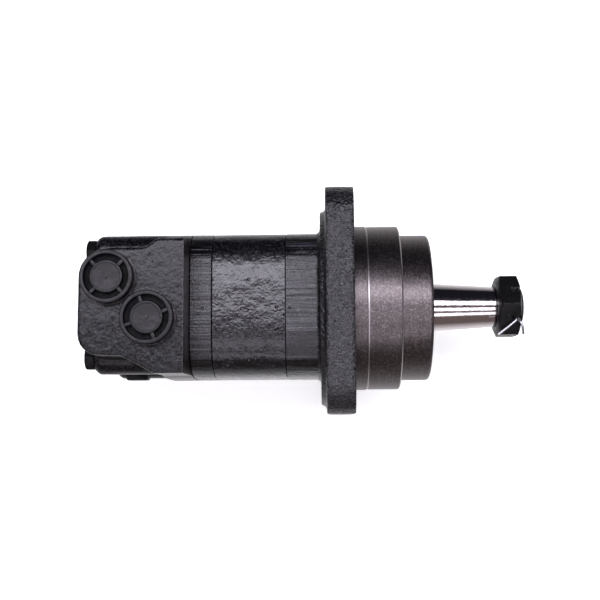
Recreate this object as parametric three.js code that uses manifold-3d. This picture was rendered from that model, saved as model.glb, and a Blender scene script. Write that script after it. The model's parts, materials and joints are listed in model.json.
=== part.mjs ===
// Orbital hydraulic wheel motor: square flange, machined nose, tapered shaft with a slotted nut,
// a stack of square sections held by four long bolts, and a rear housing with two side ports.
// Millimetres. +X runs along the output shaft towards its nut and +Z is the side where the ports
// open. The origin is on the motor's axis, in the front face of the mounting flange.
import * as THREE from "three";
import { mergeVertices } from "three/addons/utils/BufferGeometryUtils.js";
import Module from "manifold-3d";

const wasm = await Module();
wasm.setup();

// ---------------------------------------------------------------- driving dimensions

const GAP = 0.3; // left between two pieces that touch
const SEAM = GAP / 2; // half of that, on each side of a joint of the stack

// The stack, by the X of each joint
const HOUSING_REAR = -42.3;
const RING_REAR = -88.1;
const PLATE_REAR = -101.9;
const VALVE_REAR = -162;
const BODY_HALF = 46.5;
const BODY_CORNER = 24;
const ROUND_SIDES = 24; // sides of a turned bore or ring, the same on both so that their flats line up

// Mounting flange and nose
const FLANGE = { half: 69.9, corner: 18.6, thick: 17.5, hole: 6.795, spread: 52.19 };
const SHOULDER = { radius: 63.75, rear: -21 };
const PILOT = { radius: 53.975, length: 8, groove: 0.5, grooveWidth: 0.7 };
const NOSE = { radius: 53.65, step: 29.8, chamfer: 0.8, frontRadius: 47.7, end: 49.1, round: 2.5 };
const NOSE_SIDES = 40;

// Long bolts of the stack
const BOLT = { spread: 33.5, radius: 4.76, hole: 5.15, flats: 14.3, head: 5.8, tip: -22.5, sides: 12 };

// Output shaft: rear shoulder, bearing seats, thread, seal land, 1:8 taper, end thread
const SHAFT = {
  rear: -20,
  shoulder: 25,
  rearSeat: 22.5,
  frontSeat: 20,
  lockThread: 19.5,
  sealLand: 17.5,
  taperStart: 49.3,
  taperRadius: 15.875,
  taperEnd: 93.2,
  thread: 12.6,
  end: 111.4,
};
const TAPER = 1 / 8;
const NUT = { flats: 38.1, start: 93.4, end: 108.2, bore: 12.9, slot: 3.9, slotFloor: 102 };
const PIN = { x: 105.1, radius: 1.4, tilt: Math.PI / 6 };
const KEY = { x: 70, radius: 12.7, sink: 1.6, width: 6.35, top: 17.8 };

// Tapered roller bearings: [rear X, front X]
const REAR_BEARING = [-14, 6];
const FRONT_BEARING = [15, 34];
const CUP_SEAT = { rear: 37.5, front: 34, between: 31 }; // radii of the housing's bore

// Front end of the housing's bore: the seal carrier's seat and its snap ring's groove
const SEAL_BORE = { start: 34.3, radius: 35, groove: [46.6, 48.8], grooveRadius: 36.9 };
const WEAR_PLATE = { front: -37.7, inner: 19, outer: 38.4, bore: 38.8, seat: -37.4 };

// Geroler set: a six-lobed star inside seven rolls
const ROLLS = 7;
const PITCH_RADIUS = 33.3;
const ORBIT = 3.2; // distance from the motor's axis to the star's axis
const ROLL_RADIUS = 6.15;
const ROLL_PLAY = 0.2;
const STAR_PLAY = 0.35;
const RING_BORE = 34.3;
const STAR_X = [-87.6, -42.75];

// Splines of the drives: the same eight teeth everywhere
const SPLINE = { teeth: 8, tip: 13, root: 11.2, femaleTip: 12, femaleRoot: 14.2 };
const MAIN_DRIVE = { front: 8, rear: -58, frontLength: 16, rearLength: 14, shank: 7.5 };
const VALVE_DRIVE = { rear: -108.5, front: -77.5, headLength: 8, shank: 6 };

// Valve plate, the disc valve that turns against it, and the balance ring behind that
const PLATE = { bore: 17, portCircle: 27, port: 3.2 };
const DISC = { rear: -117.8, bore: 8, radius: 30.6, slots: 12, slotCircle: 24, slot: 3 };
const BALANCE = { x: [-128, -118.1], inner: 15.5, outer: 26.5, springCircle: 21, pin: 1.5 };

// Valve housing: its core behind the full section, its port pad, ports and inner chambers
const CORE = { half: 41, corner: 19, fullRear: -121 };
const LUG = { radius: 10.5, taper: 2.2, taperLength: 3, spotFace: 9.2 };
const PAD = {
  foot: 22,
  left: -44.9,
  right: 36,
  reach: 18.2,
  cornerY: -21,
  cornerRadius: 13,
  slant: [[-139, -34.4], [-119.5, -44.9]],
};
const PAD_TOP = 71;
const PORT_A = [-147, 12.2];
const PORT_B = [-122.9, -12.2];
const PORT = { radius: 11.1, floor: 49, passage: 6, spot: 17, spotDepth: 0.5 };
const PASSAGE_ENDS = [[PORT_A, 8], [PORT_B, 20]]; // the Z that each port's passage reaches down to
const CHAMBER = { valve: 31.5, valveEnd: -118.6, ring: 27, ringEnd: -132.2, centre: 15, centreEnd: -150 };
const DRAIN = { x: -142, radius: 5.3, seat: -40.2, spot: 10.5, flats: 14.3, end: -46.4 };

// ---------------------------------------------------------------- materials

const finish = (color, roughness, metalness) =>
  new THREE.MeshStandardMaterial({ color, roughness, metalness });
const BLACK_PAINT = finish(0x2b2a2f, 0.45, 0.2);
const TURNED_IRON = finish(0x4a4444, 0.38, 0.9);
const BRIGHT_STEEL = finish(0xb4b0b2, 0.18, 1);
const GROUND_STEEL = finish(0x8d8d90, 0.3, 1);
const BLACK_OXIDE = finish(0x17181a, 0.5, 0.5);
const ZINC = finish(0xa9a7ad, 0.35, 0.9);
const BLACK_PLASTIC = finish(0x34333a, 0.5, 0);
const RUBBER = finish(0x1a1a1a, 0.8, 0);
const BRONZE = finish(0x8a6a3c, 0.4, 0.9);

// ---------------------------------------------------------------- solids

// A closed geometry as a solid whose faces point out.
function solid(geometry) {
  geometry.deleteAttribute("normal");
  geometry.deleteAttribute("uv");
  const merged = mergeVertices(geometry, 1e-4);
  const corners = merged.index.array;
  const triangles = [];
  for (let i = 0; i < corners.length; i += 3) {
    const [a, b, c] = [corners[i], corners[i + 1], corners[i + 2]];
    if (a !== b && b !== c && c !== a) triangles.push(a, b, c);
  }
  const vertProperties = merged.attributes.position.array;
  const make = (list) =>
    new wasm.Manifold(new wasm.Mesh({ numProp: 3, vertProperties, triVerts: new Uint32Array(list) }));
  const made = make(triangles);
  return made.volume() < 0 ? make(triangles.reverse()) : made;
}

function geometryOf(shape) {
  const { vertProperties, triVerts } = shape.getMesh();
  return new THREE.BufferGeometry()
    .setAttribute("position", new THREE.BufferAttribute(vertProperties, 3))
    .setIndex(new THREE.BufferAttribute(triVerts, 1));
}

const join = (...shapes) => shapes.reduce((whole, shape) => whole.add(shape));
const cut = (shape, ...tools) => tools.reduce((whole, tool) => whole.subtract(tool), shape);

// Turned about X: the profile's points are [x, radius] and run from the axis to the axis.
function turned(profile, sides = ROUND_SIDES) {
  const points = profile.map(([x, radius]) => new THREE.Vector2(radius, x));
  return solid(new THREE.LatheGeometry(points, sides).rotateZ(-Math.PI / 2));
}

// A turned ring: the same, with a profile that doesn't reach the axis and closes on itself.
const turnedRing = (profile, sides) => turned([...profile, profile[0]], sides);

// A ring of rectangular section between two X and two radii.
const plainRing = ([x0, x1], inner, outer, sides) =>
  turnedRing([[x0, inner], [x0, outer], [x1, outer], [x1, inner]], sides);

// Turned about Z, with [z, radius] points.
function turnedUp(profile, sides) {
  const points = profile.map(([z, radius]) => new THREE.Vector2(radius, z));
  return solid(new THREE.LatheGeometry(points, sides).rotateX(Math.PI / 2));
}

// A shape drawn in Y and Z, extruded along X.
const ALONG_X = new THREE.Matrix4().makeBasis(
  new THREE.Vector3(0, 1, 0),
  new THREE.Vector3(0, 0, 1),
  new THREE.Vector3(1, 0, 0),
);
function prism(shape, [x0, x1], curveSegments = 5) {
  const options = { depth: x1 - x0, bevelEnabled: false, curveSegments };
  const geometry = new THREE.ExtrudeGeometry(shape, options);
  return solid(geometry.applyMatrix4(ALONG_X).translate(x0, 0, 0));
}

// A shape drawn in X and Y, extruded along Z.
function column(shape, [z0, z1], curveSegments = 6) {
  const options = { depth: z1 - z0, bevelEnabled: false, curveSegments };
  return solid(new THREE.ExtrudeGeometry(shape, options).translate(0, 0, z0));
}

// A straight rod between two points, which may taper.
function rod(from, to, radius, sides = 16, endRadius = radius) {
  const start = new THREE.Vector3(...from);
  const along = new THREE.Vector3(...to).sub(start);
  const length = along.length();
  const turn = new THREE.Quaternion().setFromUnitVectors(
    new THREE.Vector3(0, 1, 0),
    along.normalize(),
  );
  const middle = start.addScaledVector(along, length / 2);
  const geometry = new THREE.CylinderGeometry(endRadius, radius, length, sides);
  return solid(geometry.applyQuaternion(turn).translate(...middle));
}

function block([x0, x1], [y0, y1], [z0, z1]) {
  const geometry = new THREE.BoxGeometry(x1 - x0, y1 - y0, z1 - z0);
  return solid(geometry.translate((x0 + x1) / 2, (y0 + y1) / 2, (z0 + z1) / 2));
}

function roundedSquare(half, corner) {
  const shape = new THREE.Shape();
  const centre = half - corner;
  [[1, 1], [-1, 1], [-1, -1], [1, -1]].forEach(([y, z], quarter) => {
    const start = (quarter * Math.PI) / 2;
    shape.absarc(y * centre, z * centre, corner, start, start + Math.PI / 2);
  });
  return shape;
}

// A hexagon with a corner on the second axis, and its flats facing along the first.
function hexagon(flats) {
  const radius = flats / Math.sqrt(3);
  const corners = [...Array(6).keys()].map((k) => Math.PI / 2 + (k * Math.PI) / 3);
  return new THREE.Shape(
    corners.map((a) => new THREE.Vector2(radius * Math.cos(a), radius * Math.sin(a))),
  );
}

// Straight-sided teeth on a circle, each as wide as its half angles at the root and the tip say.
function splineShape(root, tip, rootHalf, tipHalf) {
  const points = [];
  for (let tooth = 0; tooth < SPLINE.teeth; tooth++) {
    const middle = (tooth * 2 * Math.PI) / SPLINE.teeth;
    const corners = [[-rootHalf, root], [-tipHalf, tip], [tipHalf, tip], [rootHalf, root]];
    for (const [offset, radius] of corners) {
      const angle = middle + THREE.MathUtils.degToRad(offset);
      points.push(new THREE.Vector2(radius * Math.cos(angle), radius * Math.sin(angle)));
    }
  }
  return new THREE.Shape(points);
}
const maleSpline = (span) => prism(splineShape(SPLINE.root, SPLINE.tip, 10.5, 7.5), span);
const splineVoid = (span) =>
  prism(splineShape(SPLINE.femaleTip, SPLINE.femaleRoot, 15.5, 12), span);

// ---------------------------------------------------------------- the assembly

const motor = new THREE.Group();
const fourCorners = [[1, 1], [-1, 1], [-1, -1], [1, -1]];

function place(name, shape, material, position = [0, 0, 0], parent = motor) {
  const mesh = new THREE.Mesh(geometryOf(shape), material);
  mesh.name = name;
  mesh.position.set(...position);
  parent.add(mesh);
  return mesh;
}

const boltHoles = ([x0, x1]) =>
  fourCorners.map((corner) => {
    const centre = corner.map((side) => side * BOLT.spread);
    return rod([x0, ...centre], [x1, ...centre], BOLT.hole, BOLT.sides);
  });

// The groove for a stack seal, cut in the face at x; deeper is +1 if the metal lies towards +X.
const SEAL = { inner: 40, outer: 41.8, depth: 1.4 };
const sealGroove = (x, deeper) =>
  plainRing([x - deeper, x + deeper * SEAL.depth].sort((a, b) => a - b), SEAL.inner, SEAL.outer);

function bearingHousing() {
  const rear = HOUSING_REAR + SEAM;
  const boss = prism(roundedSquare(BODY_HALF, BODY_CORNER), [rear, SHOULDER.rear + 1]);
  const shoulder = turned(
    [
      [SHOULDER.rear, 0],
      [SHOULDER.rear, SHOULDER.radius],
      [-FLANGE.thick + 1, SHOULDER.radius],
      [-FLANGE.thick + 1, 0],
    ],
    NOSE_SIDES,
  );
  const flange = prism(roundedSquare(FLANGE.half, FLANGE.corner), [-FLANGE.thick, 0]);
  const rounding = [0, 0.4, 0.7, 1].map((t) => {
    const angle = (t * Math.PI) / 2;
    const { end, round, frontRadius } = NOSE;
    return [end - round * (1 - Math.sin(angle)), frontRadius - round * (1 - Math.cos(angle))];
  });
  const nose = turned(
    [
      [-FLANGE.thick + 1, 0],
      [-FLANGE.thick + 1, PILOT.radius],
      [PILOT.length, PILOT.radius],
      [PILOT.length, NOSE.radius - PILOT.groove],
      [PILOT.length + PILOT.grooveWidth, NOSE.radius - PILOT.groove],
      [PILOT.length + PILOT.grooveWidth, NOSE.radius],
      [NOSE.step - NOSE.chamfer, NOSE.radius],
      [NOSE.step, NOSE.radius - NOSE.chamfer],
      [NOSE.step, NOSE.frontRadius],
      ...rounding,
      [NOSE.end, 0],
    ],
    NOSE_SIDES,
  );
  const { start, radius, groove, grooveRadius } = SEAL_BORE;
  const bore = turned([
    [rear - 5, 0],
    [rear - 5, WEAR_PLATE.bore],
    [WEAR_PLATE.seat, WEAR_PLATE.bore],
    [WEAR_PLATE.seat, CUP_SEAT.rear],
    [REAR_BEARING[1], CUP_SEAT.rear],
    [REAR_BEARING[1], CUP_SEAT.between],
    [FRONT_BEARING[0], CUP_SEAT.between],
    [FRONT_BEARING[0], CUP_SEAT.front],
    [start, CUP_SEAT.front],
    [start, radius],
    [groove[0], radius],
    [groove[0], grooveRadius],
    [groove[1], grooveRadius],
    [groove[1], radius],
    [NOSE.end + 5, radius],
    [NOSE.end + 5, 0],
  ]);
  const { spread, hole, thick } = FLANGE;
  const mountingHoles = fourCorners.map(([y, z]) =>
    rod([-thick - 5, y * spread, z * spread], [5, y * spread, z * spread], hole, 16),
  );
  return cut(
    join(boss, shoulder, flange, nose),
    bore,
    sealGroove(rear, 1),
    ...mountingHoles,
    ...boltHoles([rear - 5, BOLT.tip + 1]),
  );
}

function gerolerRing() {
  const span = [RING_REAR + SEAM, HOUSING_REAR - SEAM];
  const through = [span[0] - 5, span[1] + 5];
  const pockets = rollAngles().map((angle) => {
    const [y, z] = [PITCH_RADIUS * Math.cos(angle), PITCH_RADIUS * Math.sin(angle)];
    return rod([through[0], y, z], [through[1], y, z], ROLL_RADIUS + ROLL_PLAY, 16);
  });
  const bore = rod([through[0], 0, 0], [through[1], 0, 0], RING_BORE, 35);
  return cut(prism(roundedSquare(BODY_HALF, BODY_CORNER), span), bore, ...pockets, ...boltHoles(through));
}

const rollAngles = () => [...Array(ROLLS).keys()].map((k) => (2 * Math.PI * k) / ROLLS);

function valvePlate() {
  const span = [PLATE_REAR + SEAM, RING_REAR - SEAM];
  const through = [span[0] - 5, span[1] + 5];
  const ports = rollAngles().map((angle) => {
    const between = angle + Math.PI / ROLLS;
    const [y, z] = [PLATE.portCircle * Math.cos(between), PLATE.portCircle * Math.sin(between)];
    return rod([through[0], y, z], [through[1], y, z], PLATE.port, 6);
  });
  const bore = rod([through[0], 0, 0], [through[1], 0, 0], PLATE.bore, 20);
  return cut(
    prism(roundedSquare(BODY_HALF, BODY_CORNER), span),
    bore,
    sealGroove(span[1], -1),
    ...ports,
    ...boltHoles(through),
  );
}

// The raised pad that the ports open in: its outline wraps round port A at the rear.
function padShape() {
  const front = PLATE_REAR - SEAM;
  const { left, right, reach, cornerY, cornerRadius, slant } = PAD;
  const [portX, portY] = PORT_A;
  const shape = new THREE.Shape();
  shape.moveTo(front, left);
  shape.lineTo(front, right);
  shape.lineTo(-116, right);
  shape.bezierCurveTo(-121, right, -122, 30, -129, portY + reach);
  shape.lineTo(portX, portY + reach);
  shape.absarc(portX, portY, reach, Math.PI / 2, Math.PI, false);
  shape.lineTo(portX - reach, cornerY);
  shape.absarc(portX - reach + cornerRadius, cornerY, cornerRadius, Math.PI, 1.5 * Math.PI, false);
  slant.forEach(([x, y]) => shape.lineTo(x, y));
  return shape;
}

function valveHousing() {
  const front = PLATE_REAR - SEAM;
  const full = prism(roundedSquare(BODY_HALF, BODY_CORNER), [CORE.fullRear, front]);
  const core = prism(roundedSquare(CORE.half, CORE.corner), [VALVE_REAR + 1, CORE.fullRear + 1]);
  const lugs = fourCorners.map((corner) => {
    const centre = corner.map((side) => side * BOLT.spread);
    const { radius, taper, taperLength } = LUG;
    const lipEnd = VALVE_REAR + taperLength;
    const lip = rod([VALVE_REAR, ...centre], [lipEnd, ...centre], radius - taper, 16, radius);
    return lip.add(rod([lipEnd - 0.1, ...centre], [CORE.fullRear + 3, ...centre], radius, 16));
  });
  const pad = column(padShape(), [PAD.foot, PAD_TOP]);
  const chambers = turned([
    [CHAMBER.centreEnd, 0],
    [CHAMBER.centreEnd, CHAMBER.centre],
    [CHAMBER.ringEnd, CHAMBER.centre],
    [CHAMBER.ringEnd, CHAMBER.ring],
    [CHAMBER.valveEnd, CHAMBER.ring],
    [CHAMBER.valveEnd, CHAMBER.valve],
    [front + 5, CHAMBER.valve],
    [front + 5, 0],
  ]);
  const portTools = PASSAGE_ENDS.flatMap(([[x, y], depth]) => [
    rod([x, y, PAD_TOP - PORT.spotDepth], [x, y, PAD_TOP + 2], PORT.spot, 28),
    rod([x, y, PORT.floor], [x, y, PAD_TOP + 2], PORT.radius, 20),
    rod([x, y, depth], [x, y, PORT.floor + 1], PORT.passage, 8),
  ]);
  const drain = rod([DRAIN.x, -60, 0], [DRAIN.x, -10, 0], DRAIN.radius, 12);
  const drainSeat = rod([DRAIN.x, -60, 0], [DRAIN.x, DRAIN.seat, 0], DRAIN.spot, 16);
  const headRoom = [-BOLT.spread, BOLT.spread]; // the bolt whose head sits beside the pad
  const spotFace = rod([VALVE_REAR - 5, ...headRoom], [VALVE_REAR, ...headRoom], LUG.spotFace, 16);
  return cut(
    join(full, core, pad, ...lugs),
    chambers,
    sealGroove(front, -1),
    drain,
    drainSeat,
    spotFace,
    ...portTools,
    ...boltHoles([VALVE_REAR - 5, front + 5]),
  );
}

// One long bolt, its head's underside at the local origin.
function tieBolt() {
  const { flats, head, radius, sides } = BOLT;
  const corner = flats / Math.sqrt(3);
  const blank = prism(hexagon(flats), [-head, 0]);
  const chamfer = turned(
    [
      [-head, 0],
      [-head, flats / 2 - 0.3],
      [-head + 1, corner + 0.2],
      [0, corner + 0.2],
      [0, 0],
    ],
    18,
  );
  const shank = rod([-1, 0, 0], [BOLT.tip - VALVE_REAR + GAP, 0, 0], radius, sides);
  return blank.intersect(chamfer).add(shank);
}

// A shipping cap: a threaded cup with a rim, a recessed ring and a raised centre joined by ribs.
function portCap() {
  const rim = { outer: 16, inner: 13.4, height: 7 };
  const centre = { radius: 9.8, height: 6.2 };
  const floor = 2.4;
  const body = turnedUp(
    [
      [0.9, 0],
      [0.9, 8.8],
      [-10, 8.8],
      [-10, 10.7],
      [GAP - PORT.spotDepth, 10.7],
      [GAP - PORT.spotDepth, rim.outer - 0.5],
      [GAP - PORT.spotDepth + 0.5, rim.outer],
      [rim.height - 0.6, rim.outer],
      [rim.height, rim.outer - 0.6],
      [rim.height, rim.inner],
      [floor, rim.inner],
      [floor, centre.radius],
      [centre.height, centre.radius],
      [centre.height, 0],
    ],
    28,
  );
  const across = [floor - 0.5, 5.4];
  const ribs = [1, -1].flatMap((side) => {
    const reach = [side * (centre.radius - 0.4), side * (rim.inner + 0.4)].sort((a, b) => a - b);
    return [block(reach, [-1.1, 1.1], across), block([-1.1, 1.1], reach, across)];
  });
  return join(body, ...ribs);
}

function drainPlug() {
  const head = hexagon(DRAIN.flats);
  const options = { depth: DRAIN.seat - GAP - DRAIN.end, bevelEnabled: false };
  const standing = new THREE.ExtrudeGeometry(head, options).rotateX(Math.PI / 2);
  const hex = solid(standing.translate(0, DRAIN.seat - GAP, 0));
  return hex.add(rod([0, DRAIN.seat - GAP - 1, 0], [0, DRAIN.seat + 10, 0], DRAIN.radius - 0.35, 12));
}

function outputShaft() {
  const { rear, end, thread, taperStart, taperRadius, taperEnd } = SHAFT;
  const smallEnd = taperRadius - ((taperEnd - taperStart) * TAPER) / 2;
  const outside = turned([
    [rear, 0],
    [rear, SHAFT.shoulder],
    [REAR_BEARING[0] - GAP, SHAFT.shoulder],
    [REAR_BEARING[0] - GAP, SHAFT.rearSeat],
    [FRONT_BEARING[0] - GAP, SHAFT.rearSeat],
    [FRONT_BEARING[0] - GAP, SHAFT.frontSeat],
    [FRONT_BEARING[1] + 0.4, SHAFT.frontSeat],
    [FRONT_BEARING[1] + 0.4, SHAFT.lockThread],
    [41, SHAFT.lockThread],
    [41, SHAFT.sealLand],
    [taperStart - 0.8, SHAFT.sealLand],
    [taperStart, taperRadius],
    [taperEnd, smallEnd],
    [taperEnd, thread],
    [end - 1.4, thread],
    [end - 0.5, thread - 2.2],
    [end, thread - 6.5],
    [end, 0],
  ]);
  const socket = splineVoid([rear - 1, 18]);
  const drillPoint = turned([[17, 0], [17, 11], [23, 0]], 16);
  return cut(
    outside,
    socket,
    drillPoint,
    keySolid(KEY.width + 2 * GAP, GAP).translate(KEY.x, 0, -KEY.top),
    rod(pinPoint(-20), pinPoint(20), PIN.radius + GAP, 12),
  );
}

// The half-moon key, flat side down, its flat at the local origin. Spare widens it for its seat.
function keySolid(width, spare) {
  const start = Math.asin(KEY.sink / KEY.radius);
  const shape = new THREE.Shape();
  shape.absarc(0, -KEY.sink, KEY.radius + spare, start, Math.PI - start, false);
  const options = { depth: width, bevelEnabled: false, curveSegments: 8 };
  const geometry = new THREE.ExtrudeGeometry(shape, options).translate(0, 0, -width / 2);
  return solid(geometry.rotateX(Math.PI / 2));
}

function castleNut() {
  const { flats, start, end, bore, slot, slotFloor } = NUT;
  const corner = flats / Math.sqrt(3) + 0.2;
  const blank = prism(hexagon(flats), [start, end]);
  const chamfer = turnedRing([
    [start, bore],
    [start, flats / 2 - 2.4],
    [start + 2.6, corner],
    [end - 1.8, corner],
    [end, flats / 2 - 0.9],
    [end, bore],
  ]);
  const slots = [0, 1, 2].map((k) => {
    const across = block([slotFloor, end + 1], [-corner - 1, corner + 1], [-slot / 2, slot / 2]);
    return across.rotate([k * 60, 0, 0]);
  });
  return cut(blank.intersect(chamfer), ...slots);
}

// A point on the split pin's own line, at a distance from the motor's axis on the legs' side.
const pinPoint = (reach) => [PIN.x, -reach * Math.sin(PIN.tilt), reach * Math.cos(PIN.tilt)];

function cotterPin() {
  const leg = 0.95;
  const exit = 20.6;
  const body = rod(pinPoint(-21), pinPoint(exit), PIN.radius, 12);
  const eye = solid(new THREE.TorusGeometry(2.3, leg, 6, 12).rotateX(Math.PI / 2 + PIN.tilt));
  const lift = new THREE.Vector3(...pinPoint(-23.2));
  const legs = [
    [pinPoint(exit - 1.2), [PIN.x - 12.5, -19.6, 15.3]],
    [pinPoint(exit - 1.2), [PIN.x + 2.7, -14.2, 18.6], [PIN.x + 3.9, -19.2, 14.6]],
  ].flatMap((path) =>
    path.slice(1).map((to, i) => rod(path[i], to, leg, 8)),
  );
  return join(body, eye.translate(...lift), ...legs);
}

// ---------------------------------------------------------------- bearings and seals

// A tapered roller bearing, wide end of its rollers at the wide X. Returns cup, cone and rollers.
function rollerBearing([x0, x1], bore, outer, wideAtRear) {
  const at = (t) => (wideAtRear ? x0 + t * (x1 - x0) : x1 - t * (x1 - x0));
  const thick = outer - bore;
  const coneRace = (t) => bore + thick * (0.32 - 0.1 * t);
  const cupRace = (t) => bore + thick * (0.76 - 0.18 * t);
  const middle = (t) => (coneRace(t) + cupRace(t)) / 2;
  const half = (t) => (cupRace(t) - coneRace(t)) / 2 - GAP;
  const ring = (start, face, race) =>
    turnedRing([[at(start), face], [at(start), race(start)], [at(1), race(1)], [at(1), face]]);
  const cone = ring(0, bore, coneRace);
  const cup = ring(0.12, outer, cupRace);
  const [near, far] = [0.14, 0.92];
  const cage = turnedRing(
    [
      [at(near + 0.02), middle(near) + 0.7],
      [at(near + 0.02), middle(near) - 0.7],
      [at(far + 0.05), middle(far) - 0.7],
      [at(far + 0.05), middle(far) + 0.7],
    ],
    16,
  );
  const count = 8;
  const rollers = [...Array(count).keys()].map((k) => {
    const angle = (2 * Math.PI * k) / count;
    const point = (t) => [at(t), middle(t) * Math.cos(angle), middle(t) * Math.sin(angle)];
    return rod(point(near), point(far), half(near) * 0.92, 6, half(far) * 0.92);
  });
  return { cup, cone, rollers: join(cage, ...rollers) };
}

function lockNut() {
  const ring = plainRing([34.7, 40], SHAFT.lockThread + GAP, 28.5);
  return cut(
    ring,
    block([37, 41], [-3, 3], [-30, 30]),
    block([37, 41], [-30, 30], [-3, 3]),
  );
}

// Holds the shaft seal in its rear pocket and the dust seal in its front one.
const sealCarrier = () =>
  turnedRing([
    [40.5, 24.2],
    [40.5, 34.7],
    [42.5, 34.7],
    [42.5, 33.4],
    [44.6, 33.4],
    [44.6, 34.7],
    [46.7, 34.7],
    [46.7, 22.4],
    [45.3, 22.4],
    [45.3, 18.4],
    [44.6, 18.4],
    [44.6, 24.2],
  ]);

const lipSeal = ([x0, x1], outer, lip) =>
  turnedRing([[x0, lip + 1.2], [x0, outer], [x1, outer], [x1, lip + 1.8], [(x0 + x1) / 2, lip]]);

// An internal snap ring: open at the top, with two lugs that take pliers.
function snapRing() {
  const span = [46.95, 48.55];
  const ring = plainRing(span, 33.2, 36.5);
  const lugs = [1, -1].map((side) => rod([span[0], side * 4.6, 33], [span[1], side * 4.6, 33], 2.4, 10));
  const holes = [1, -1].map((side) =>
    rod([span[0] - 1, side * 4.6, 33], [span[1] + 1, side * 4.6, 33], 0.9, 8),
  );
  const opening = block([span[0] - 1, span[1] + 1], [-2.2, 2.2], [25, 40]);
  return cut(join(ring, ...lugs), opening, ...holes);
}

// ---------------------------------------------------------------- geroler, drives and valve

// The star's outline: the path of the roll centres seen from the star, moved in by a roll.
function starShape() {
  const lobes = ROLLS - 1;
  const steps = 16 * lobes;
  const points = [...Array(steps).keys()].map((k) => {
    const t = (2 * Math.PI * k) / steps;
    const [y, z] = [
      PITCH_RADIUS * Math.cos(t) - ORBIT * Math.cos(ROLLS * t),
      PITCH_RADIUS * Math.sin(t) - ORBIT * Math.sin(ROLLS * t),
    ];
    const tangent = new THREE.Vector2(
      -PITCH_RADIUS * Math.sin(t) + ROLLS * ORBIT * Math.sin(ROLLS * t),
      PITCH_RADIUS * Math.cos(t) - ROLLS * ORBIT * Math.cos(ROLLS * t),
    ).normalize();
    const inward = ROLL_RADIUS + STAR_PLAY;
    return new THREE.Vector2(y - tangent.y * inward, z + tangent.x * inward);
  });
  return new THREE.Shape(points);
}

const driveAngle = (from, to) => Math.atan2(ORBIT, Math.abs(to - from));
const driveLength = (from, to) => Math.hypot(ORBIT, to - from);

// Both heads are splined; the front one is at the local origin and the rear one at -length.
function mainDrive() {
  const { front, rear, frontLength, rearLength, shank } = MAIN_DRIVE;
  const length = driveLength(front, rear);
  return join(
    maleSpline([-frontLength / 2, frontLength / 2]),
    maleSpline([-length - rearLength / 2, -length + rearLength / 2]),
    rod([-length, 0, 0], [0, 0, 0], shank, 16),
  );
}

// The same, with its rear head at the local origin and its front one at +length.
function valveDrive() {
  const { front, rear, headLength, shank } = VALVE_DRIVE;
  const length = driveLength(front, rear);
  return join(
    maleSpline([-headLength / 2, headLength / 2]),
    maleSpline([length - headLength / 2, length + headLength / 2]),
    rod([0, 0, 0], [length, 0, 0], shank, 16),
  );
}

function discValve() {
  const span = [DISC.rear, PLATE_REAR - SEAM - GAP];
  const disc = plainRing(span, DISC.bore, DISC.radius);
  const slots = [...Array(DISC.slots).keys()].map((k) => {
    const angle = (2 * Math.PI * (k + 0.5)) / DISC.slots;
    const [y, z] = [DISC.slotCircle * Math.cos(angle), DISC.slotCircle * Math.sin(angle)];
    const floor = k % 2 ? span[0] - 1 : span[1] - 6;
    return rod([floor, y, z], [span[1] + 1, y, z], DISC.slot, 8);
  });
  return cut(disc, splineVoid([span[0] - 1, span[1] + 1]), ...slots);
}

function balanceRing() {
  const { x, inner, outer } = BALANCE;
  const groove = [(x[0] + x[1]) / 2 - 1.2, (x[0] + x[1]) / 2 + 1.2];
  const pinHoles = balancePins().map(([y, z]) =>
    rod([x[0] - 1, y, z], [x[0] + 5, y, z], BALANCE.pin + GAP, 10),
  );
  return cut(plainRing(x, inner, outer), plainRing(groove, outer - 1.8, outer + 2), ...pinHoles);
}

const balancePins = () =>
  [90, 270].map((degrees) => {
    const angle = THREE.MathUtils.degToRad(degrees);
    return [BALANCE.springCircle * Math.cos(angle), BALANCE.springCircle * Math.sin(angle)];
  });

class Coil extends THREE.Curve {
  constructor(radius, length, turns) {
    super();
    Object.assign(this, { radius, length, turns });
  }
  getPoint(t, target = new THREE.Vector3()) {
    const angle = t * this.turns * 2 * Math.PI;
    return target.set(t * this.length, this.radius * Math.cos(angle), this.radius * Math.sin(angle));
  }
}

function balanceSpring() {
  const wire = new THREE.Shape().absarc(0, 0, 0.35, 0, 2 * Math.PI, false);
  const room = BALANCE.x[0] - CHAMBER.ringEnd - 2 * GAP - 0.8;
  const extrudePath = new Coil(2, room, 2.5);
  const options = { steps: 20, curveSegments: 2, bevelEnabled: false, extrudePath };
  return solid(new THREE.ExtrudeGeometry(wire, options)).translate(GAP + 0.4, 0, 0);
}

// ---------------------------------------------------------------- placing the pieces

// The stack and its fasteners
place("bearing_housing", bearingHousing(), BLACK_PAINT);
place("geroler_ring", gerolerRing(), BLACK_PAINT);
place("valve_plate", valvePlate(), BLACK_PAINT);
place("valve_housing", valveHousing(), BLACK_PAINT);
fourCorners.forEach(([y, z], k) => {
  const seat = [VALVE_REAR - GAP, y * BOLT.spread, z * BOLT.spread];
  place(`tie_bolt_${k + 1}`, tieBolt(), BLACK_OXIDE, seat);
});
place("port_cap_a", portCap(), BLACK_PLASTIC, [...PORT_A, PAD_TOP]).rotation.z = Math.PI / 4;
place("port_cap_b", portCap(), BLACK_PLASTIC, [...PORT_B, PAD_TOP]).rotation.z = 0.35;
place("drain_plug", drainPlug(), BLACK_OXIDE, [DRAIN.x, 0, 0]);
const sealSpan = [SEAL.inner + 0.6, SEAL.outer - 0.4];
const housingFace = HOUSING_REAR + SEAM;
const plateFace = RING_REAR - SEAM;
const valveFace = PLATE_REAR - SEAM;
place("housing_o_ring", plainRing([housingFace + 0.05, housingFace + 1.15], ...sealSpan), RUBBER);
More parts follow.
